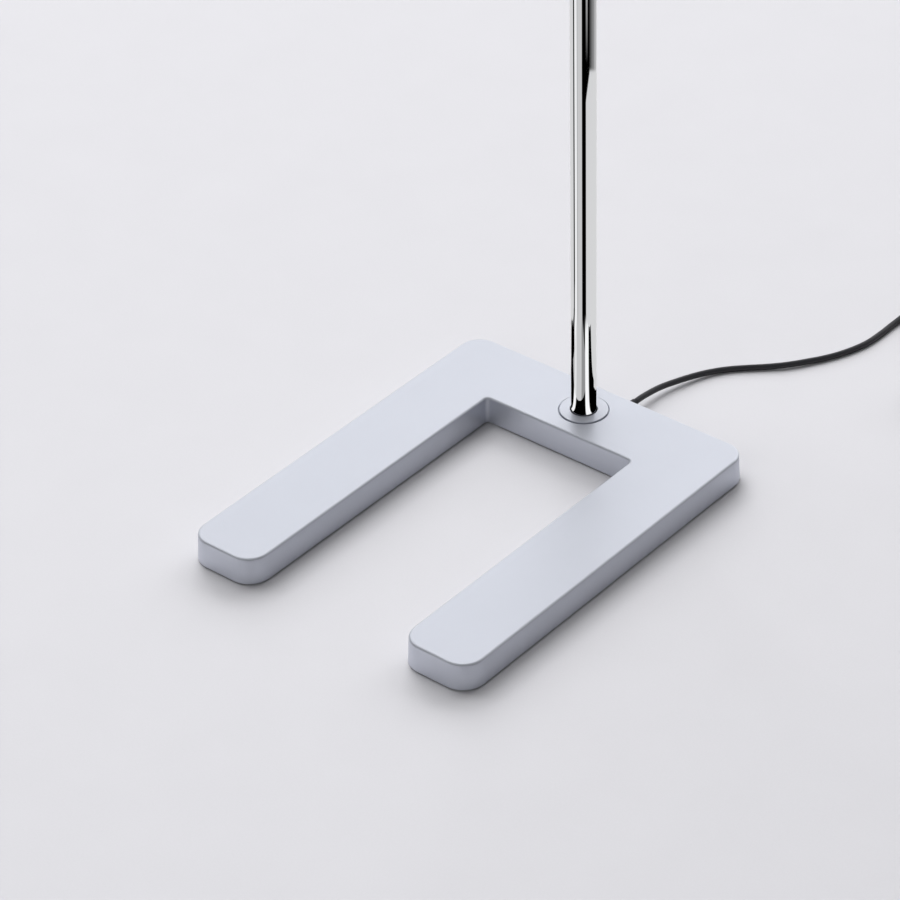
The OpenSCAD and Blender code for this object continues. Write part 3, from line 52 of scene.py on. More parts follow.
SENSOR_MM = 36
NEAREST, FARTHEST = 0.05, 100

POLE_AXIS = (0, 0.176, 0)

CORD_D = 0.0062
# The cord's free route from the strain relief to the coil
CORD_ROUTE = [
    (0.015, 0.240, 0.010), (0.015, 0.247, 0.010), (0.0155, 0.262, 0.0091),
    (0.0175, 0.280, 0.0078), (0.022, 0.298, 0.0063), (0.0285, 0.317, 0.0051),
    (0.0365, 0.335, 0.0039), (0.0475, 0.3515, 0.0032), (0.0615, 0.366, 0.0031),
    (0.077, 0.380, 0.0033), (0.0915, 0.3945, 0.0039), (0.105, 0.4135, 0.0036),
    (0.117, 0.4335, 0.0031), (0.127, 0.456, 0.0031), (0.133, 0.478, 0.0031),
    (0.1345, 0.500, 0.0031), (0.1345, 0.520, 0.0031), (0.135, 0.542, 0.0036),
    (0.1355, 0.558, 0.0042), (0.1355, 0.565, 0.0042),
]
# The cord's route from the coil's end to the plug, as steps from the coil's end
TAIL_STEPS = [
    (0, 0, 0), (0, -0.007, 0), (0, -0.016, 0.001), (0, -0.030, 0.0037),
    (0, -0.044, 0.0065), (0, -0.057, 0.0075), (0, -0.064, 0.0075),
]
COIL_TURNS = 7.5
COIL_PITCH = 0.0067
COIL_OUTER_R = 0.0372 + COIL_PITCH * COIL_TURNS / 4
COIL_LOW_Z = 0.0042
COIL_END_L = 0.007
COIL_STEPS = 24
COIL_HALF_CLIMB = 0.25
RING_STEP = 0.003
CORD_SIDES = 20


def linear(code):
    """A colour from its screen code, as the linear values that shaders take."""
    shares = [int(code[i : i + 2], 16) / 255 for i in (1, 3, 5)]
    return (*[s / 12.92 if s <= 0.04045 else ((s + 0.055) / 1.055) ** 2.4 for s in shares], 1)


def grey(level):
    """A neutral linear colour."""
    return (level, level, level, 1)


class Graph:
    """A node tree of a material, a group or the world, built node by node."""

    def __init__(self, tree):
        self.tree = tree
        self.tree.nodes.clear()

    def add(self, kind, inputs=None, **settings):
        """Adds a node, sets it up, and joins or sets its inputs."""
        node = self.tree.nodes.new(kind)
        for name, value in settings.items():
            setattr(node, name, value)
        for key, value in (inputs or {}).items():
            self.feed(node.inputs[key], value)
        return node

    def feed(self, socket, value):
        """Joins a socket to a node's first output or to an output, or sets its value."""
        if isinstance(value, bpy.types.Node):
            value = value.outputs[0]
        if isinstance(value, bpy.types.NodeSocket):
            self.tree.links.new(value, socket)
        else:
            socket.default_value = value

    def math(self, operation, *values, clamp=False):
        """The result of one sum."""
        inputs = dict(enumerate(values))
        return self.add(
            "ShaderNodeMath", inputs, operation=operation, use_clamp=clamp
        ).outputs[0]

    def span(self, value, low, high, new_low=0.0, new_high=1.0, smooth=False):
        """A value moved from one span to another and held inside it."""
        return self.add(
            "ShaderNodeMapRange",
            {0: value, 1: low, 2: high, 3: new_low, 4: new_high},
            interpolation_type="SMOOTHSTEP" if smooth else "LINEAR",
        ).outputs[0]

    def mix(self, share, first, second):
        """Two colours mixed by a share."""
        return self.add(
            "ShaderNodeMix", {0: share, 6: first, 7: second}, data_type="RGBA"
        ).outputs[2]

    def ramp(self, value, stops):
        """A colour ramp from stops of place and grey level."""
        node = self.add("ShaderNodeValToRGB", {0: value})
        elements = node.color_ramp.elements
        elements.remove(elements[1])
        elements[0].position, elements[0].color = stops[0][0], grey(stops[0][1])
        for place, level in stops[1:]:
            elements.new(place).color = grey(level)
        return node.outputs[0]

    def bump(self, height, distance):
        """A bumped normal from a height between 0 and 1, which stands for so many metres."""
        inputs = {"Height": height, "Distance": distance, "Strength": 1.0}
        return self.add("ShaderNodeBump", inputs).outputs[0]


def swung(g, colour, level, depth):
    """A colour made lighter and darker by how far a level of 0 to 1 is from its middle."""
    swing = g.math("MULTIPLY", g.math("SUBTRACT", level, 0.5), depth)
    inputs = {0: colour, "Scale": g.math("ADD", 1, swing)}
    return g.add("ShaderNodeVectorMath", inputs, operation="SCALE").outputs[0]


def new_group(name, inputs, outputs):
    """An empty shader node group and its graph, input node and output node."""
    tree = bpy.data.node_groups.new(name, "ShaderNodeTree")
    for label, kind in inputs:
        tree.interface.new_socket(label, in_out="INPUT", socket_type="NodeSocket" + kind)
    for label, kind in outputs:
        tree.interface.new_socket(label, in_out="OUTPUT", socket_type="NodeSocket" + kind)
    graph = Graph(tree)
    return tree, graph, graph.add("NodeGroupInput").outputs, graph.add("NodeGroupOutput").inputs


# How many soft patches a metre of pigment has, and how much the fine grain and they count
PATCHES_PER_M = 14
FINE_SHARE, BROAD_SHARE = 0.6, 0.4


def pigment_group():
    """Pigment that varies a little in tone from grain to grain, and the grain's height."""
    tree, g, given, out = new_group(
        "pigment",
        [("Color", "Color"), ("Grain Size", "Float"), ("Depth", "Float")],
        [("Color", "Color"), ("Height", "Float")],
    )
    place = g.add("ShaderNodeTexCoord").outputs["Object"]
    fine = g.add(
        "ShaderNodeTexNoise",
        {"Vector": place, "Scale": g.math("DIVIDE", 1, given["Grain Size"]), "Detail": 2},
    ).outputs[0]
    broad = g.add(
        "ShaderNodeTexNoise", {"Vector": place, "Scale": PATCHES_PER_M, "Detail": 3}
    ).outputs[0]
    both = g.math(
        "ADD", g.math("MULTIPLY", fine, FINE_SHARE), g.math("MULTIPLY", broad, BROAD_SHARE)
    )
    g.feed(out["Color"], swung(g, given["Color"], both, given["Depth"]))
    g.feed(out["Height"], fine)
    return tree


def handling_group():
    """Roughness that drifts in soft patches, as handling and wiping leave it."""
    tree, g, given, out = new_group(
        "handling",
        [("Roughness", "Float"), ("Spread", "Float"), ("Patch Size", "Float")],
        [("Roughness", "Float")],
    )
    place = g.add("ShaderNodeTexCoord").outputs["Object"]
    patches = g.add(
        "ShaderNodeTexNoise",
        {
            "Vector": place,
            "Scale": g.math("DIVIDE", 1, given["Patch Size"]),
            "Detail": 4,
            "Roughness": 0.6,
            "Distortion": 0.6,
        },
    ).outputs[0]
    drift = g.math("MULTIPLY", g.math("SUBTRACT", patches, 0.5), given["Spread"])
    g.feed(out["Roughness"], g.math("ADD", given["Roughness"], drift, clamp=True))
    return tree


# How far an edge's rounded normal turns from its face where rubbing starts and is full
EDGE_TURN = (0.02, 0.22)
# What breaks the rubbing up: spots to the metre, and the levels between which they show
BREAKS_PER_M = 160
BREAKS = (0.35, 0.6)


def rubbed_edge_group():
    """Edges that are rubbed a little lighter or darker than the faces beside them."""
    tree, g, given, out = new_group(
        "rubbed_edge",
        [("Color", "Color"), ("Edge Color", "Color"), ("Width", "Float"), ("Amount", "Float")],
        [("Color", "Color"), ("Mask", "Float")],
    )
    rounded = g.add("ShaderNodeBevel", {"Radius": given["Width"]}, samples=4).outputs[0]
    face = g.add("ShaderNodeNewGeometry").outputs["Normal"]
    together = g.add("ShaderNodeVectorMath", {0: rounded, 1: face}, operation="DOT_PRODUCT")
    turned_off = g.math("SUBTRACT", 1, together.outputs["Value"])
    place = g.add("ShaderNodeTexCoord").outputs["Object"]
    broken = g.add(
        "ShaderNodeTexNoise", {"Vector": place, "Scale": BREAKS_PER_M, "Detail": 4}
    ).outputs[0]
    edge = g.span(turned_off, *EDGE_TURN, smooth=True)
    mask = g.math("MULTIPLY", edge, g.span(broken, *BREAKS))
    mask = g.math("MULTIPLY", mask, given["Amount"], clamp=True)
    g.feed(out["Color"], g.mix(mask, given["Color"], given["Edge Color"]))
    g.feed(out["Mask"], mask)
    return tree


# Motes and drifts of dust to the metre, the levels between which they show, and how far up a
# face looks that catches some or all
MOTES_PER_M = 900
DRIFTS_PER_M = 9
MOTES = (0.5, 0.8)
DRIFTS = (0.3, 0.8)
LOOKS_UP = (0.6, 0.95)


def settled_dust_group():
    """A thin film of dust on what faces up."""
    tree, g, given, out = new_group(
        "settled_dust",
        [("Color", "Color"), ("Dust Color", "Color"), ("Amount", "Float")],
        [("Color", "Color"), ("Mask", "Float")],
    )
    up = g.add(
        "ShaderNodeSeparateXYZ", {0: g.add("ShaderNodeNewGeometry").outputs["Normal"]}
    ).outputs[2]
    place = g.add("ShaderNodeTexCoord").outputs["Object"]
    motes = g.add(
        "ShaderNodeTexNoise",
        {"Vector": place, "Scale": MOTES_PER_M, "Detail": 3, "Roughness": 0.7},
    ).outputs[0]
    drift = g.add(
        "ShaderNodeTexNoise", {"Vector": place, "Scale": DRIFTS_PER_M, "Detail": 3}
    ).outputs[0]
    film = g.math("MULTIPLY", g.span(motes, *MOTES), g.span(drift, *DRIFTS))
    mask = g.math("MULTIPLY", film, g.span(up, *LOOKS_UP, smooth=True))
    mask = g.math("MULTIPLY", mask, given["Amount"], clamp=True)
    g.feed(out["Color"], g.mix(mask, given["Color"], given["Dust Color"]))
    g.feed(out["Mask"], mask)
    return tree


def lathe_group():
    """Fine rings round an upright axis, as a lathe leaves them."""
    tree, g, given, out = new_group(
        "lathe_rings",
        [("Color", "Color"), ("Axis", "Vector"), ("Ring Pitch", "Float"), ("Depth", "Float")],
        [("Color", "Color"), ("Height", "Float")],
    )
    place = g.add("ShaderNodeTexCoord").outputs["Object"]
    off = g.add("ShaderNodeVectorMath", {0: place, 1: given["Axis"]}, operation="SUBTRACT")
    parts = g.add("ShaderNodeSeparateXYZ", {0: off.outputs[0]}).outputs
    across = g.math(
        "SQRT", g.math("ADD", g.math("POWER", parts[0], 2), g.math("POWER", parts[1], 2))
    )
    rings = g.add("ShaderNodeCombineXYZ", {0: across, 1: parts[2], 2: 0.0}).outputs[0]
    lines = g.add(
        "ShaderNodeTexNoise",
        {"Vector": rings, "Scale": g.math("DIVIDE", 1, given["Ring Pitch"]), "Detail": 3},
    ).outputs[0]
    g.feed(out["Color"], swung(g, given["Color"], lines, given["Depth"]))
    g.feed(out["Height"], lines)
    return tree


EFFECTS = {
    "pigment": pigment_group(),
    "handling": handling_group(),
    "rubbed_edge": rubbed_edge_group(),
    "settled_dust": settled_dust_group(),
    "lathe_rings": lathe_group(),
}


def effect(graph, name, inputs):
    """Places one of the shared effects in a material."""
    node = graph.add("ShaderNodeGroup", node_tree=EFFECTS[name])
    for key, value in inputs.items():
        graph.feed(node.inputs[key], value)
    return node.outputs


def new_finish(name, **shader_values):
    """A material with its shader. The values are the shader's plain sockets."""
    made = bpy.data.materials.new(name)
    made.use_nodes = True
    graph = Graph(made.node_tree)
    shader = graph.add("ShaderNodeBsdfPrincipled")
    for key, value in shader_values.items():
        shader.inputs[key.replace("_", " ")].default_value = value
    graph.add("ShaderNodeOutputMaterial", {0: shader})
    return made, graph, shader.inputs


def lacquer(name, colour, grain=0.00045):
    """Satin metallic lacquer on cast or bent metal."""
    made, g, shader = new_finish(name, Metallic=0.7, Specular_IOR_Level=0.5)
    paint = effect(g, "pigment", {"Color": colour, "Grain Size": grain, "Depth": 0.10})
    edged = effect(
        g,
        "rubbed_edge",
        {"Color": paint["Color"], "Edge Color": linear("#eceef4"), "Width": 0.0012, "Amount": 0.3},
    )
    dusted = effect(
        g,
        "settled_dust",
        {"Color": edged["Color"], "Dust Color": linear("#cfcdca"), "Amount": 0.12},
    )
    worn = effect(g, "handling", {"Roughness": 0.38, "Spread": 0.12, "Patch Size": 0.06})
    g.feed(shader["Base Color"], dusted["Color"])
    g.feed(shader["Roughness"], worn["Roughness"])
    g.feed(shader["Normal"], g.bump(paint["Height"], distance=0.00003))
    return made


def moulded(name, colour, rough, grain=0.0003, edge="#8a8b8e"):
    """Moulded plastic or rubber with a fine eroded grain."""
    made, g, shader = new_finish(name, Specular_IOR_Level=0.5)
    mass = effect(g, "pigment", {"Color": colour, "Grain Size": grain, "Depth": 0.16})
    edged = effect(
        g,
        "rubbed_edge",
        {"Color": mass["Color"], "Edge Color": linear(edge), "Width": 0.0006, "Amount": 0.22},
    )
    worn = effect(g, "handling", {"Roughness": rough, "Spread": 0.14, "Patch Size": 0.02})
    g.feed(shader["Base Color"], edged["Color"])
    g.feed(shader["Roughness"], worn["Roughness"])
    g.feed(shader["Normal"], g.bump(mass["Height"], distance=0.00002))
    return made


def turned(name, colour):
    """Metal turned on a lathe, round the pole's axis."""
    made, g, shader = new_finish(name, Metallic=1.0)
    rings = effect(
        g,
        "lathe_rings",
        {"Color": colour, "Axis": POLE_AXIS, "Ring Pitch": 0.00012, "Depth": 0.25},
    )
    worn = effect(g, "handling", {"Roughness": 0.3, "Spread": 0.2, "Patch Size": 0.006})
    g.feed(shader["Base Color"], rings["Color"])
    g.feed(shader["Roughness"], worn["Roughness"])
    g.feed(shader["Normal"], g.bump(rings["Height"], distance=0.00001))
    return made


def chrome(name):
    """Bright chromium plate with a trace of wiping."""
    made, g, shader = new_finish(name, Metallic=1.0)
    plate = effect(
        g, "pigment", {"Color": (0.93, 0.935, 0.95, 1), "Grain Size": 0.02, "Depth": 0.02}
    )
    worn = effect(g, "handling", {"Roughness": 0.012, "Spread": 0.02, "Patch Size": 0.03})
    g.feed(shader["Base Color"], plate["Color"])
    g.feed(shader["Roughness"], worn["Roughness"])
    return made


def plated(name, colour, rough=0.25):
    """Plated or plain metal of small stamped pieces."""
    made, g, shader = new_finish(name, Metallic=1.0)
    plate = effect(g, "pigment", {"Color": colour, "Grain Size": 0.0008, "Depth": 0.2})
    edged = effect(
        g,
        "rubbed_edge",
        {"Color": plate["Color"], "Edge Color": linear("#f2f2f2"), "Width": 0.0003, "Amount": 0.5},
    )
    worn = effect(g, "handling", {"Roughness": rough, "Spread": 0.25, "Patch Size": 0.004})
    g.feed(shader["Base Color"], edged["Color"])
    g.feed(shader["Roughness"], worn["Roughness"])
    g.feed(shader["Normal"], g.bump(plate["Height"], distance=0.00001))
    return made


# How the sheet's rolling lines are stretched: lines to the metre along X, Y and Z
ROLLING_LINES = (40, 3000, 3000)


def brushed(name, colour):
    """Sheet metal with its rolling lines."""
    made, g, shader = new_finish(name, Metallic=1.0)
    place = g.add("ShaderNodeTexCoord").outputs["Object"]
    stretched = g.add("ShaderNodeMapping", {0: place, 3: ROLLING_LINES}).outputs[0]
    lines = g.add("ShaderNodeTexNoise", {"Vector": stretched, "Scale": 1, "Detail": 4}).outputs[0]
    g.feed(shader["Base Color"], g.mix(lines, colour, linear("#e4e5e6")))
    g.feed(shader["Roughness"], g.span(lines, 0.2, 0.8, new_low=0.28, new_high=0.48))
    g.feed(shader["Normal"], g.bump(lines, distance=0.00001))
    return made


# From a pad's outside to its inside, as shares of a cell
PAD_EDGE = (0.14, 0.11)


def board_finish(name, mask_colour, track_colour):
    """A circuit board: solder mask with tracks that show through it, and tinned pads."""
    made, g, shader = new_finish(name, Specular_IOR_Level=0.5)
    place = g.add("ShaderNodeTexCoord").outputs["Object"]
    tracks = g.add(
        "ShaderNodeTexBrick",
        {
            "Vector": place,
            "Color1": grey(0),
            "Color2": grey(0),
            "Mortar": grey(1),
            "Scale": 90,
            "Mortar Size": 0.03,
            "Mortar Smooth": 0.1,
        },
        offset=0.37,
    ).outputs[0]
    cells = g.add("ShaderNodeTexVoronoi", {"Vector": place, "Scale": 130}).outputs[0]
    pads = g.span(cells, *PAD_EDGE)
    mass = effect(g, "pigment", {"Color": mask_colour, "Grain Size": 0.0004, "Depth": 0.1})
    tracked = g.mix(tracks, mass["Color"], track_colour)
    g.feed(shader["Base Color"], g.mix(pads, tracked, linear("#c9cbcc")))
    g.feed(shader["Roughness"], g.span(pads, 0, 1, new_low=0.38, new_high=0.24))
    g.feed(shader["Normal"], g.bump(tracks, distance=0.00003))
    return made


def diode_finish(name):
    """Phosphor in a pale frame, each diode a little different."""
    made, g, shader = new_finish(name, Roughness=0.35)
    own = g.add("ShaderNodeNewGeometry").outputs["Random Per Island"]
    tint = g.mix(own, linear("#f4d547"), linear("#eac233"))
    mass = effect(g, "pigment", {"Color": tint, "Grain Size": 0.0002, "Depth": 0.2})
    g.feed(shader["Base Color"], mass["Color"])
    g.feed(shader["Normal"], g.bump(mass["Height"], distance=0.00002))
    return made


# Flanks of the panel's small prisms to the metre
FLANKS_PER_M = 700


def prismatic(name):
    """The lower panel: opal acrylic with a fine square grid of small prisms."""
    made, g, shader = new_finish(name, Roughness=0.22, Specular_IOR_Level=0.5, Coat_Weight=0.2)
    place = g.add("ShaderNodeTexCoord").outputs["Object"]
    parts = g.add("ShaderNodeSeparateXYZ", {0: place}).outputs
    ridges = [g.math("PINGPONG", g.math("MULTIPLY", part, FLANKS_PER_M), 1) for part in parts[:2]]
    height = g.math("MULTIPLY", g.math("ADD", *ridges), 0.5)
    mass = effect(g, "pigment", {"Color": linear("#eef0f0"), "Grain Size": 0.002, "Depth": 0.05})
    g.feed(shader["Base Color"], g.mix(height, mass["Color"], linear("#cfd4d6")))
    g.feed(shader["Normal"], g.bump(height, distance=0.0004))
    return made


def clear_panel(name):
    """The clear upper cover: acrylic sheet with a trace of dust and wiping."""
    made, g, shader = new_finish(name, Specular_IOR_Level=0.6, IOR=1.49)
    mass = effect(g, "pigment", {"Color": linear("#e6eaec"), "Grain Size": 0.001, "Depth": 0.04})
    dusted = effect(
        g,
        "settled_dust",
        {"Color": mass["Color"], "Dust Color": linear("#d8d6d2"), "Amount": 0.7},
    )
    worn = effect(g, "handling", {"Roughness": 0.08, "Spread": 0.08, "Patch Size": 0.05})
    g.feed(shader["Base Color"], dusted["Color"])
    g.feed(shader["Roughness"], worn["Roughness"])
    g.feed(shader["Alpha"], g.span(dusted["Mask"], 0, 1, new_low=0.2, new_high=0.55))
    return made


# The cord's twisted cores, as they show through its sheath: ridges round it, the length of one
# twist, the ridges' share of the relief, and its depth
LAY_RIDGES = 5
LAY_LENGTH = 0.045
LAY_SHARE, GRAIN_SHARE = 0.8, 0.2
LAY_RELIEF = 0.00012


def cord_jacket(name, colour):
    """A round plastic sheath whose twisted cores show faintly through it. It uses the tube's
    own unwrapping: once round is 1 across, and one metre is 1 along."""
    made, g, shader = new_finish(name, Specular_IOR_Level=0.5)
    flat = g.add("ShaderNodeTexCoord").outputs["UV"]
    parts = g.add("ShaderNodeSeparateXYZ", {0: flat}).outputs
    turn = g.math("ADD", g.math("MULTIPLY", parts[1], 1 / LAY_LENGTH), parts[0])
    wave = g.math("SINE", g.math("MULTIPLY", turn, 2 * math.pi * LAY_RIDGES))
    lay = g.math("ADD", g.math("MULTIPLY", wave, 0.5), 0.5)
    mass = effect(g, "pigment", {"Color": colour, "Grain Size": 0.0004, "Depth": 0.3})
    worn = effect(g, "handling", {"Roughness": 0.42, "Spread": 0.2, "Patch Size": 0.012})
    lifted = g.math(
        "ADD", g.math("MULTIPLY", lay, LAY_SHARE), g.math("MULTIPLY", mass["Height"], GRAIN_SHARE)
    )
    g.feed(shader["Base Color"], mass["Color"])
    g.feed(shader["Roughness"], worn["Roughness"])
    g.feed(shader["Normal"], g.bump(lifted, distance=LAY_RELIEF))
    return made


def smooth_line(points, step):
    """Points a step apart on a smooth line through the given points, ends included."""
    points = [Vector(p) for p in points]
    ends = [points[0] * 2 - points[1], *points, points[-1] * 2 - points[-2]]
    line = [points[0]]
    for before, start, end, after in zip(ends, ends[1:], ends[2:], ends[3:]):
        count = max(1, math.ceil((end - start).length / step))
        leave = centred_slope(before, start, end) * (end - start).length
        arrive = centred_slope(start, end, after) * (end - start).length
        for k in range(1, count + 1):
            t = k / count
            line.append(
                start * (2 * t**3 - 3 * t**2 + 1)
                + leave * (t**3 - 2 * t**2 + t)
                + end * (3 * t**2 - 2 * t**3)
                + arrive * (t**3 - t**2)
            )
    return line


def centred_slope(before, here, after):
    """The direction of a smooth line at a point, weighted by the spans beside it."""
    back, ahead = (here - before).length, (after - here).length
    return ((here - before) * (ahead / back) + (after - here) * (back / ahead)) / (back + ahead)


def ease(share):
    """A smooth climb from 0 to 1."""
    held = min(max(share, 0), 1)
    return held * held * (3 - 2 * held)


def cord_line():
    """The mains cord's centreline: its free run, its coil of two layers and its end."""
    start = Vector(CORD_ROUTE[-1])
    centre = start + Vector((COIL_OUTER_R, COIL_END_L, 0))
    climb_start = COIL_TURNS / 2 - COIL_HALF_CLIMB
    spiral = []
    for k in range(int(COIL_STEPS * COIL_TURNS) + 1):
        turn = k / COIL_STEPS
        angle = math.pi - 2 * math.pi * turn
        radius = COIL_OUTER_R - COIL_PITCH * min(turn, COIL_TURNS - turn)
        layer = ease((turn - climb_start) / (2 * COIL_HALF_CLIMB))
        spiral.append(
            (
                centre.x + radius * math.cos(angle),
                centre.y + radius * math.sin(angle),
                COIL_LOW_Z + COIL_PITCH * layer,
            )
        )
    tail = Vector((centre.x + COIL_OUTER_R, start.y, COIL_LOW_Z + COIL_PITCH))
    ending = [tail + Vector(step) for step in TAIL_STEPS]
    return smooth_line([*CORD_ROUTE, *spiral, *ending], RING_STEP)


def new_object(name, data):
    """An object of a mesh, camera or light, put into the scene."""
    made = bpy.data.objects.new(name, data)
    bpy.context.scene.collection.objects.link(made)
    return made


def tube_piece(name, line, radius, sides):
    """A round tube along a line, unwrapped with once round as 1 and one metre as 1."""
    count = len(line)
    ways = [(line[min(i + 1, count - 1)] - line[max(i - 1, 0)]).normalized() for i in range(count)]
    side = ways[0].cross(Vector((0, 0, 1))).normalized()
    points, along = [], [0.0]
    for i, (centre, way) in enumerate(zip(line, ways)):
        side = (side - way * side.dot(way)).normalized()
        other = way.cross(side)
        for k in range(sides):
            angle = 2 * math.pi * k / sides
            points.append(centre + (side * math.cos(angle) + other * math.sin(angle)) * radius)
        if i:
            along.append(along[-1] + (centre - line[i - 1]).length)
    faces, flat = [], []
    for i in range(count - 1):
        for k in range(sides):
            low, high = i * sides, (i + 1) * sides
            after = (k + 1) % sides
            faces.append((low + k, low + after, high + after, high + k))
            for ring, turn in ((i, k), (i, k + 1), (i + 1, k + 1), (i + 1, k)):
                flat.append((turn / sides, along[ring]))
    for ring, order in ((0, reversed(range(sides))), (count - 1, range(sides))):
        faces.append(tuple(ring * sides + k for k in order))
        flat.extend([(0.5, along[ring])] * sides)
    mesh = bpy.data.meshes.new(name)
    mesh.from_pydata(points, [], faces)
    unwrapped = mesh.uv_layers.new(name="around_and_along")
    for corner, place in zip(unwrapped.data, flat):
        corner.uv = place
    for face in mesh.polygons:
        face.use_smooth = True
    return new_object(name, mesh)


def place_camera():
    """The camera at the photograph's angle."""
    lens = bpy.data.cameras.new("camera")
    lens.lens, lens.sensor_width = CAMERA_LENS_MM, SENSOR_MM
    lens.clip_start, lens.clip_end = NEAREST, FARTHEST
    camera = new_object("camera", lens)
    right, up = Vector(CAMERA_RIGHT), -Vector(CAMERA_DOWN)
    turn = Matrix((right, up, right.cross(up))).transposed().to_4x4()
    camera.matrix_world = Matrix.Translation(CAMERA_PLACE) @ turn
    bpy.context.scene.camera = camera


def lay_cord():
    """The mains cord in one piece, in place of its three CAD stretches. The chrome doesn't show
    what lies at its far end, as in the photograph."""
    line = cord_line()
    piece = tube_piece("mains_cord", line, CORD_D / 2, CORD_SIDES)
    piece.data.materials.append(cord_jacket("cord_jacket", linear("#202024")))
    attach(piece, "base")
    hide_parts("cord_run", "cord_coil", "cord_tail")
    for unseen in (piece, cad_nodes["plug_body"], cad_nodes["cord_tie"]):
        unseen.visible_glossy = False


def plate_between(outlines, face_y, proud, sunk, name):
    """Thin solid plates that face -Y, from outlines of X and Z."""
    shape = bmesh.new()
    for outline in outlines:
        rings = [
            [shape.verts.new((x, y, z)) for x, z in outline]
            for y in (face_y - proud, face_y + sunk)
        ]
        shape.faces.new(rings[0])
        shape.faces.new(list(reversed(rings[1])))
        for k in range(len(outline)):
            after = (k + 1) % len(outline)
            shape.faces.new((rings[0][k], rings[1][k], rings[1][after], rings[0][after]))
    bmesh.ops.recalc_face_normals(shape, faces=shape.faces)
    mesh = bpy.data.meshes.new(name)
    shape.to_mesh(mesh)
    shape.free()
    return new_object(name, mesh)


# The signs printed on the keys: from the middle to the end, a stroke's width, and how far they
# stand out of the key's face and reach into it
SIGN_REACH = 0.0027
SIGN_STROKE = 0.0007
SIGN_PROUD = 0.00008
SIGN_SUNK = 0.0002


def bar_outline(centre_z, low_x, high_x, half, steps=6):
    """A level bar with round ends."""
    outline = []
    for end, start in ((high_x - half, -90), (low_x + half, 90)):
        for k in range(steps + 1):
            angle = math.radians(start + 180 * k / steps)
            outline.append((end + half * math.cos(angle), centre_z + half * math.sin(angle)))
    return outline


def plus_outline(centre_z, reach, half):
    """A plus sign in one outline."""
    outline = []
    for quarter in range(4):
        c, s = [(1, 0), (0, 1), (-1, 0), (0, -1)][quarter]
        for x, z in ((reach, -half), (reach, half), (half, half)):
            outline.append((x * c - z * s, centre_z + x * s + z * c))
    return outline


def power_outlines(centre_z, reach, half, open_angle=38, steps=28):
    """An open ring with an upright bar in its gap."""
    inner, outer = reach - 2 * half, reach
    angles = [90 + open_angle + (360 - 2 * open_angle) * k / steps for k in range(steps + 1)]
    turns = [math.radians(a) for a in angles]
    ring = [(outer * math.cos(a), centre_z + outer * math.sin(a)) for a in turns]
    ring += [(inner * math.cos(a), centre_z + inner * math.sin(a)) for a in reversed(turns)]
    top, low = centre_z + reach + half, centre_z
    return [ring, [(-half, low), (half, low), (half, top), (-half, top)]]


def key_signs(finish):
    """The printed signs on the three keys."""
    half = SIGN_STROKE / 2
    for body in ("power", "brighter", "dimmer"):
        low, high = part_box(body + "_key")
        centre_z = (low.z + high.z) / 2
        outlines = {
            "power": power_outlines(centre_z, SIGN_REACH, half),
            "brighter": [plus_outline(centre_z, SIGN_REACH, half)],
            "dimmer": [bar_outline(centre_z, -SIGN_REACH, SIGN_REACH, half)],
        }[body]
        sign = plate_between(outlines, low.y, SIGN_PROUD, SIGN_SUNK, body + "_sign")
        sign.data.materials.append(finish)
        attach(sign, body)


def box_corners(low_x, high_x, low_y, high_y):
    """The corners of a flat box, in turn."""
    return [(low_x, low_y), (high_x, low_y), (high_x, high_y), (low_x, high_y)]


FLOOR_REACH = 30
FLOOR_COLOUR = (0.50, 0.497, 0.520, 1)
# Where the floor goes over to the backdrop: metres from the lamp
FLOOR_FADE = (1.8, 5.0)
# How far off the floor still shows in glossy faces, from fully to not at all
FLOOR_MIRRORED_TO = (0.055, 0.075)


def lay_floor():
    """The plain pale floor, clear from below and far off. Glossy faces show it close by, and the
    studio's panels beyond."""
    mesh = bpy.data.meshes.new("studio_floor")
    corners = box_corners(-FLOOR_REACH, FLOOR_REACH, -FLOOR_REACH, FLOOR_REACH)
    mesh.from_pydata([(*corner, 0) for corner in corners], [], [(0, 1, 2, 3)])
    floor = new_object("studio_floor", mesh)
    made, g, shader = new_finish("studio_floor", Roughness=0.9, Specular_IOR_Level=0.1)
    mass = effect(g, "pigment", {"Color": FLOOR_COLOUR, "Grain Size": 0.002, "Depth": 0.085})
    g.feed(shader["Base Color"], mass["Color"])
    path = g.add("ShaderNodeLightPath").outputs
    near = g.span(path["Ray Length"], *FLOOR_MIRRORED_TO, 1, 0)
    shown = g.math("MAXIMUM", g.math("SUBTRACT", 1, path["Is Glossy Ray"]), near)
    below = g.add("ShaderNodeNewGeometry").outputs["Backfacing"]
    place = g.add("ShaderNodeTexCoord").outputs["Object"]
    off = g.add("ShaderNodeVectorMath", {0: place}, operation="LENGTH")
    far = g.span(off.outputs["Value"], *FLOOR_FADE, smooth=True)
    hidden = g.math("MAXIMUM", below, g.math("MULTIPLY", far, path["Is Camera Ray"]))
    shown = g.math("MULTIPLY", shown, g.math("SUBTRACT", 1, hidden))
    clear = g.add("ShaderNodeBsdfTransparent")
    both = g.add("ShaderNodeMixShader", {0: shown, 1: clear, 2: shader["Base Color"].node})
    g.feed(g.tree.nodes["Material Output"].inputs[0], both)
    mesh.materials.append(made)


# Painted reflections: the dark sheet laid over the base and the pale one over its gap, which only
# the chrome shows. Their strips paint the base dark with bright highlights, and the floor in the
# gap with its shade and highlights, in place of what the chrome would reflect.
# Each strip has the degrees round the pole from +X where it starts, and its plain level
BASE_PAINTED_REFLECTION = [(-180, 0), (-140, 1), (-115, 0), (-40, 1), (-10, 0)]
GAP_PAINTED_REFLECTION = [(-180, 0.4), (-140, 0.8), (-115, 0.6), (-70, 0.3), (-40, 1), (-10, 0.4)]
PAINTED_SHEET_Z = 0.0315
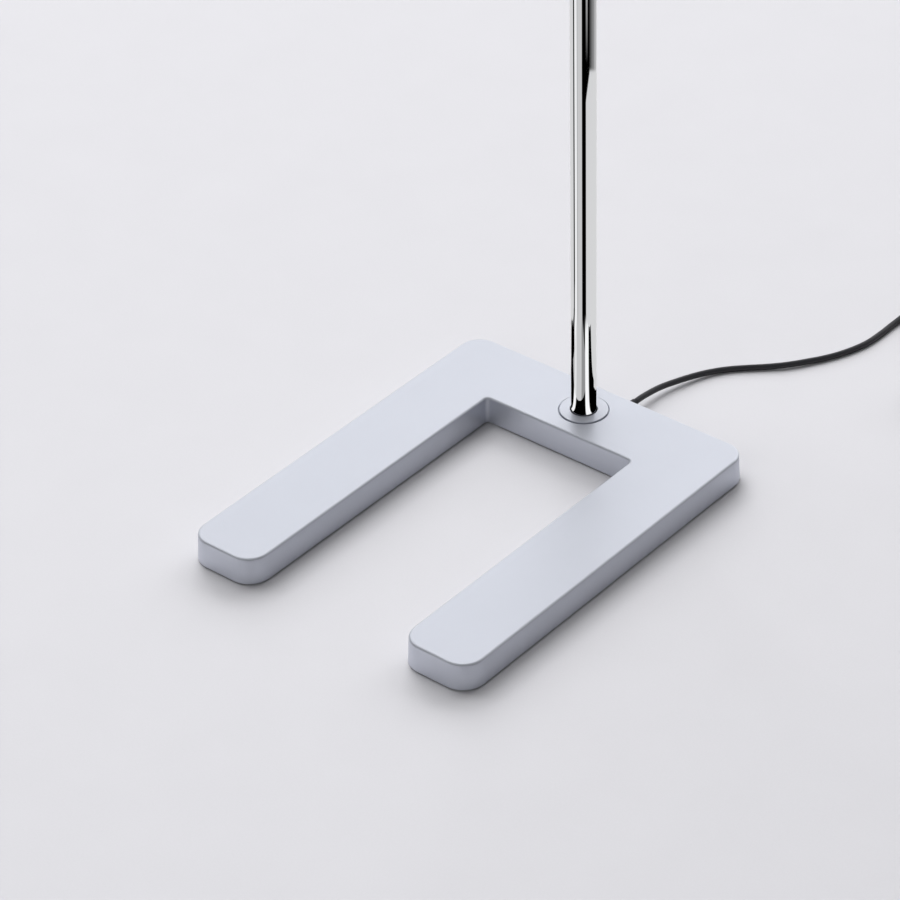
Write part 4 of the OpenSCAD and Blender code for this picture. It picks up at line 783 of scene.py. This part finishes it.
# Where the painted reflections go over to the panels: metres from the pole's axis
PAINTED_SHEET_FADE = (0.16, 0.20)
PAINTED_SHEET_INSET = 0.003
PAINTED_SHEET_HOLE_R = 0.013
PAINTED_SHEET_STEP_DEGREES = 6
LEG_W = 0.080
BAR_W = 0.082
# Less than this is no step to either side
NEARLY_NONE = 1e-6
# Degrees to either side of a strip's edge over which it goes over to the next
STRIP_SOFT = 1


def strip_stops(strips):
    """Strips of one level each, which go on to the next strip's start, as stops."""
    stops = [strips[0]]
    for (_, before), (start, level) in zip(strips, strips[1:]):
        stops += [(start - STRIP_SOFT, before), (start + STRIP_SOFT, level)]
    return [*stops, (180, strips[-1][1])]


def round_stops(table):
    """A table of degrees and level as stops once round, with 0 and 1 at the back."""
    return [(degrees / 360 + 0.5, level) for degrees, level in table]


def painted_reflection_finish(name, strips):
    """A painted reflection's plain glow round the pole, on a sheet that only glossy faces see. Far
    off it goes over to the panels behind it, and it is clear from below."""
    made = bpy.data.materials.new(name)
    made.use_nodes = True
    g = Graph(made.node_tree)
    place = g.add("ShaderNodeTexCoord").outputs["Object"]
    off = g.add("ShaderNodeVectorMath", {0: place, 1: POLE_AXIS}, operation="SUBTRACT")
    parts = g.add("ShaderNodeSeparateXYZ", {0: off.outputs[0]}).outputs
    turn = g.math("ARCTAN2", parts[1], parts[0])
    share = g.math("ADD", g.math("DIVIDE", turn, 2 * math.pi), 0.5)
    # The painted reflection's strips close by, and the panels' levels far off
    near, panels = [
        g.ramp(share, round_stops(strip_stops(table))) for table in (strips, PANELS)
    ]
    reach = g.add("ShaderNodeVectorMath", {0: off.outputs[0]}, operation="LENGTH")
    far = g.span(reach.outputs["Value"], *PAINTED_SHEET_FADE, smooth=True)
    glow = g.add("ShaderNodeEmission", {0: g.mix(far, near, panels)})
    below = g.add("ShaderNodeNewGeometry").outputs["Backfacing"]
    clear = g.add("ShaderNodeBsdfTransparent")
    both = g.add("ShaderNodeMixShader", {0: below, 1: glow, 2: clear})
    g.add("ShaderNodeOutputMaterial", {0: both})
    return made


def lay_painted_reflections():
    """The sheets of painted reflection over the base and its gap. The chrome's foot shows their
    painted strips of dark, highlight and the floor's shade in place of what lies there.
    """
    half_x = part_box("base_casting")[1].x - PAINTED_SHEET_INSET
    half_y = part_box("base_casting")[1].y - PAINTED_SHEET_INSET
    gap_x = half_x - LEG_W + 2 * PAINTED_SHEET_INSET
    gap_y = half_y - BAR_W + 2 * PAINTED_SHEET_INSET
    bar = box_corners(-half_x, half_x, gap_y, half_y)
    axis = Vector(POLE_AXIS[:2])
    turns = sorted(
        [math.radians(degrees) for degrees in range(-180, 180, PAINTED_SHEET_STEP_DEGREES)]
        + [math.atan2(y - axis.y, x - axis.x) for x, y in bar]
    )
    points = []
    for turn in turns:
        way = Vector((math.cos(turn), math.sin(turn)))
        reach = min(
            (edge - start) / step
            for start, step, edge in (
                (axis.x, way.x, math.copysign(half_x, way.x)),
                (axis.y, way.y, half_y if way.y > 0 else gap_y),
            )
            if abs(step) > NEARLY_NONE
        )
        points += [axis + way * PAINTED_SHEET_HOLE_R, axis + way * reach]
    count = len(points)
    faces = [(k, k + 1, (k + 3) % count, (k + 2) % count) for k in range(0, count, 2)]
    for low_x, high_x in ((-half_x, -gap_x), (gap_x, half_x)):
        faces.append(tuple(range(len(points), len(points) + 4)))
        points += [Vector(p) for p in box_corners(low_x, high_x, -half_y, gap_y)]
    gap = box_corners(-gap_x, gap_x, -half_y, gap_y)
    for name, corners, sides, strips in (
        ("base_painted_reflection", points, faces, BASE_PAINTED_REFLECTION),
        ("gap_painted_reflection", gap, [(0, 1, 2, 3)], GAP_PAINTED_REFLECTION),
    ):
        mesh = bpy.data.meshes.new(name)
        mesh.from_pydata([(*corner, PAINTED_SHEET_Z) for corner in corners], [], sides)
        mesh.materials.append(painted_reflection_finish(name, strips))
        painted_sheet = new_object(name, mesh)
        painted_sheet.visible_camera = painted_sheet.visible_diffuse = False
        painted_sheet.visible_shadow = painted_sheet.visible_transmission = False


AMBIENT = (0.13, 0.13, 0.13, 1)
BACKDROP = (0.77, 0.765, 0.80, 1)
# The panels that stand round the lamp, in strips like the painted reflections'
PANELS = [(-180, 0.7), (-150, 0), (-135, 0.9), (-110, 0.4), (-100, 0.6), (-65, 0), (-30, 0.7)]
# The dark wall over the right-hand panel, which pales evenly to the back
WALL = [*strip_stops(PANELS[:-1])[:-1], (0, 0), (110, 0.7), (180, 0.7)]
# The height of the ray to the panels' top edge, and how far under it the edge lies on each side
PANEL_TOP = -0.49
PANEL_DROPS = [(-180, 0.01), (-35, 0.01), (5, 0.002), (180, 0.002)]
PANEL_TOP_SOFT = 0.0004
# The bright streak beside the panels, and where it fades
STREAK = [(-180, 0), (-30, 1), (-15, 0)]
STREAK_LEVEL = 0.4
STREAK_FADE = (-0.49, -0.475)
# The screens above them, as the satin faces show them
SCREENS = [
    (-180, 0.2), (-135, 0.2), (-90, 0.12), (-45, 0.25), (0, 0.3), (45, 0.35), (90, 1.4),
    (135, 0.92), (180, 0.2),
]
CEILING = 0.3
UNDERFOOT = 0.6
# How steeply a ray goes up or down where one zone goes over to the next
OVERHEAD_FROM = (0.6, 0.92)
UNDERFOOT_FROM = (-0.85, -0.95)
LEVEL_LINE = (-0.08, 0.08)


def hang_studio():
    """The studio round the lamp: even light, a plain backdrop, and what shiny faces show."""
    world = bpy.data.worlds.new("studio")
    bpy.context.scene.world = world
    world.use_nodes = True
    g = Graph(world.node_tree)
    way = g.add("ShaderNodeTexCoord").outputs["Generated"]
    parts = g.add("ShaderNodeSeparateXYZ", {0: way}).outputs
    round_turn = g.math("DIVIDE", g.math("ARCTAN2", parts[1], parts[0]), 2 * math.pi)
    round_turn = g.math("ADD", round_turn, 0.5)
    panels, wall, streak, drops, screens = [
        g.ramp(round_turn, round_stops(table))
        for table in (strip_stops(PANELS), WALL, strip_stops(STREAK), PANEL_DROPS, SCREENS)
    ]
    top = g.math("SUBTRACT", PANEL_TOP, drops)
    over = g.span(g.math("SUBTRACT", parts[2], top), -PANEL_TOP_SOFT, PANEL_TOP_SOFT)
    lit = g.math("MULTIPLY", streak, g.span(parts[2], *STREAK_FADE))
    panels = g.mix(lit, g.mix(over, panels, wall), grey(STREAK_LEVEL))
    underfoot = g.span(parts[2], *UNDERFOOT_FROM, smooth=True)
    overhead = g.span(parts[2], *OVERHEAD_FROM, smooth=True)
    above = g.span(parts[2], *LEVEL_LINE, smooth=True)
    low = g.mix(underfoot, panels, grey(UNDERFOOT))
    high = g.mix(overhead, screens, grey(CEILING))
    path = g.add("ShaderNodeLightPath").outputs
    seen = g.mix(path["Is Glossy Ray"], AMBIENT, g.mix(above, low, high))
    seen = g.mix(path["Is Camera Ray"], seen, BACKDROP)
    light = g.add("ShaderNodeBackground", {"Color": seen, "Strength": 1.0})
    g.add("ShaderNodeOutputWorld", {0: light})


LAMP_DISTANCE = 24
LAMP_SIZE = 15
# The soft lights: degrees round from +X, degrees up from the floor, and watts
LAMPS = {
    "left_high": (180, 60, 2740),
    "left_low": (180, 30, 1000),
    "back_left_high": (135, 60, 1600),
    "back_left_low": (135, 30, 5600),
    "back_low": (90, 30, 2700),
    "front_low": (270, 30, 1400),
}


def hang_lamps():
    """The soft lights round the object, each a square panel that faces the base."""
    for name, (turn, rise, watts) in LAMPS.items():
        light = bpy.data.lights.new(name, "AREA")
        light.size, light.energy = LAMP_SIZE, watts
        lamp = new_object(name, light)
        turn, rise = math.radians(turn), math.radians(rise)
        level = math.cos(rise)
        way = Vector((level * math.cos(turn), level * math.sin(turn), math.sin(rise)))
        lamp.location = way * LAMP_DISTANCE
        lamp.rotation_mode = "QUATERNION"
        lamp.rotation_quaternion = (-way).to_track_quat("-Z", "Y")
        lamp.visible_camera = lamp.visible_glossy = False


SILVER = (0.595, 0.617, 0.685, 1)


def finish_nodes():
    """Gives every CAD node its finish, and hands back the white of the printed signs."""
    black_plastic = moulded("keypad_black", linear("#1d1e20"), rough=0.45)
    steel = plated("screw_steel", linear("#c2c4c6"), rough=0.3)
    sheath = moulded("cable_grey", linear("#8f9194"), rough=0.5, grain=0.0006)
    white = moulded("sensor_white", linear("#eef0f2"), rough=0.3, edge="#ffffff")
    green = board_finish("green_board", linear("#1c5b38"), linear("#2f7d4d"))
    finishes = {
        lacquer("base_lacquer", SILVER): ["base_casting"],
        lacquer("ring_lacquer", SILVER, grain=0.0003): ["collar_ring"],
        lacquer("head_lacquer", SILVER, grain=0.0004): ["head_frame", "trim_frame", "head_arm"],
        moulded("glide_rubber", linear("#232324"), rough=0.8): ["floor_glides"],
        moulded("cover_black", linear("#2b2c2e"), rough=0.55): ["bottom_cover", "cord_clamp"],
        steel: [
            "cover_screws", "clamp_screws", "keypad_screws", "arm_screws", "trim_screws",
            "top_cover_screws",
        ],
        turned("turned_steel", linear("#b9bbbd")): [
            "stop_pin", "spring_washer", "ring_nut", "hinge_pin",
        ],
        turned("blued_steel", linear("#23252d")): ["pole_foot"],
        moulded("bearing_plastic", linear("#d9d4c4"), rough=0.4): [
            "stem_bush", "slip_ring", "friction_washers",
        ],
        moulded("terminal_white", linear("#e4e3dd"), rough=0.45): ["terminal_block"],
        plated("brass", linear("#c9a75a")): ["terminal_screws"],
        moulded("core_insulation", linear("#6d4a2f"), rough=0.4): [
            "mains_cores", "pole_cores", "driver_leads",
        ],
        moulded("relief_rubber", linear("#202023"), rough=0.62): ["strain_relief"],
        moulded("tie_black", linear("#1b1b1c"), rough=0.7, grain=0.0008): ["cord_tie"],
        moulded("plug_black", linear("#1e1e20"), rough=0.5): ["plug_body"],
        plated("nickel", linear("#cfcdc6"), rough=0.2): ["plug_pins", "earth_contacts"],
        chrome("chrome"): ["pole_tube", "hinge_yoke", "hinge_caps"],
        sheath: ["pole_cable", "head_cable", "keypad_lead"],
        black_plastic: ["keypad_front_shell", "keypad_back_shell"],
        moulded("key_grey", linear("#54565a"), rough=0.55): [
            "power_key", "brighter_key", "dimmer_key",
        ],
        green: ["keypad_board", "sensor_board"],
        moulded("switch_black", linear("#26272a"), rough=0.4): ["keypad_switches"],
        board_finish("white_board", linear("#e8e9e6"), linear("#d6d8d2")): [
            "downlight_board", "uplight_boards",
        ],
        diode_finish("diode_yellow"): ["downlight_diodes", "uplight_diodes"],
        brushed("driver_case", linear("#b7babd")): ["driver"],
        prismatic("prismatic_panel"): ["diffuser_panel"],
        clear_panel("clear_panel"): ["top_cover"],
        white: ["sensor_lens"],
    }
    for made, names in finishes.items():
        for name in names:
            for slot in cad_nodes[name].material_slots:
                slot.material = made
    return white


place_camera()
lay_cord()
lay_floor()
lay_painted_reflections()
hang_studio()
hang_lamps()
white_print = finish_nodes()
key_signs(white_print)
bpy.context.scene.view_settings.view_transform = "Standard"
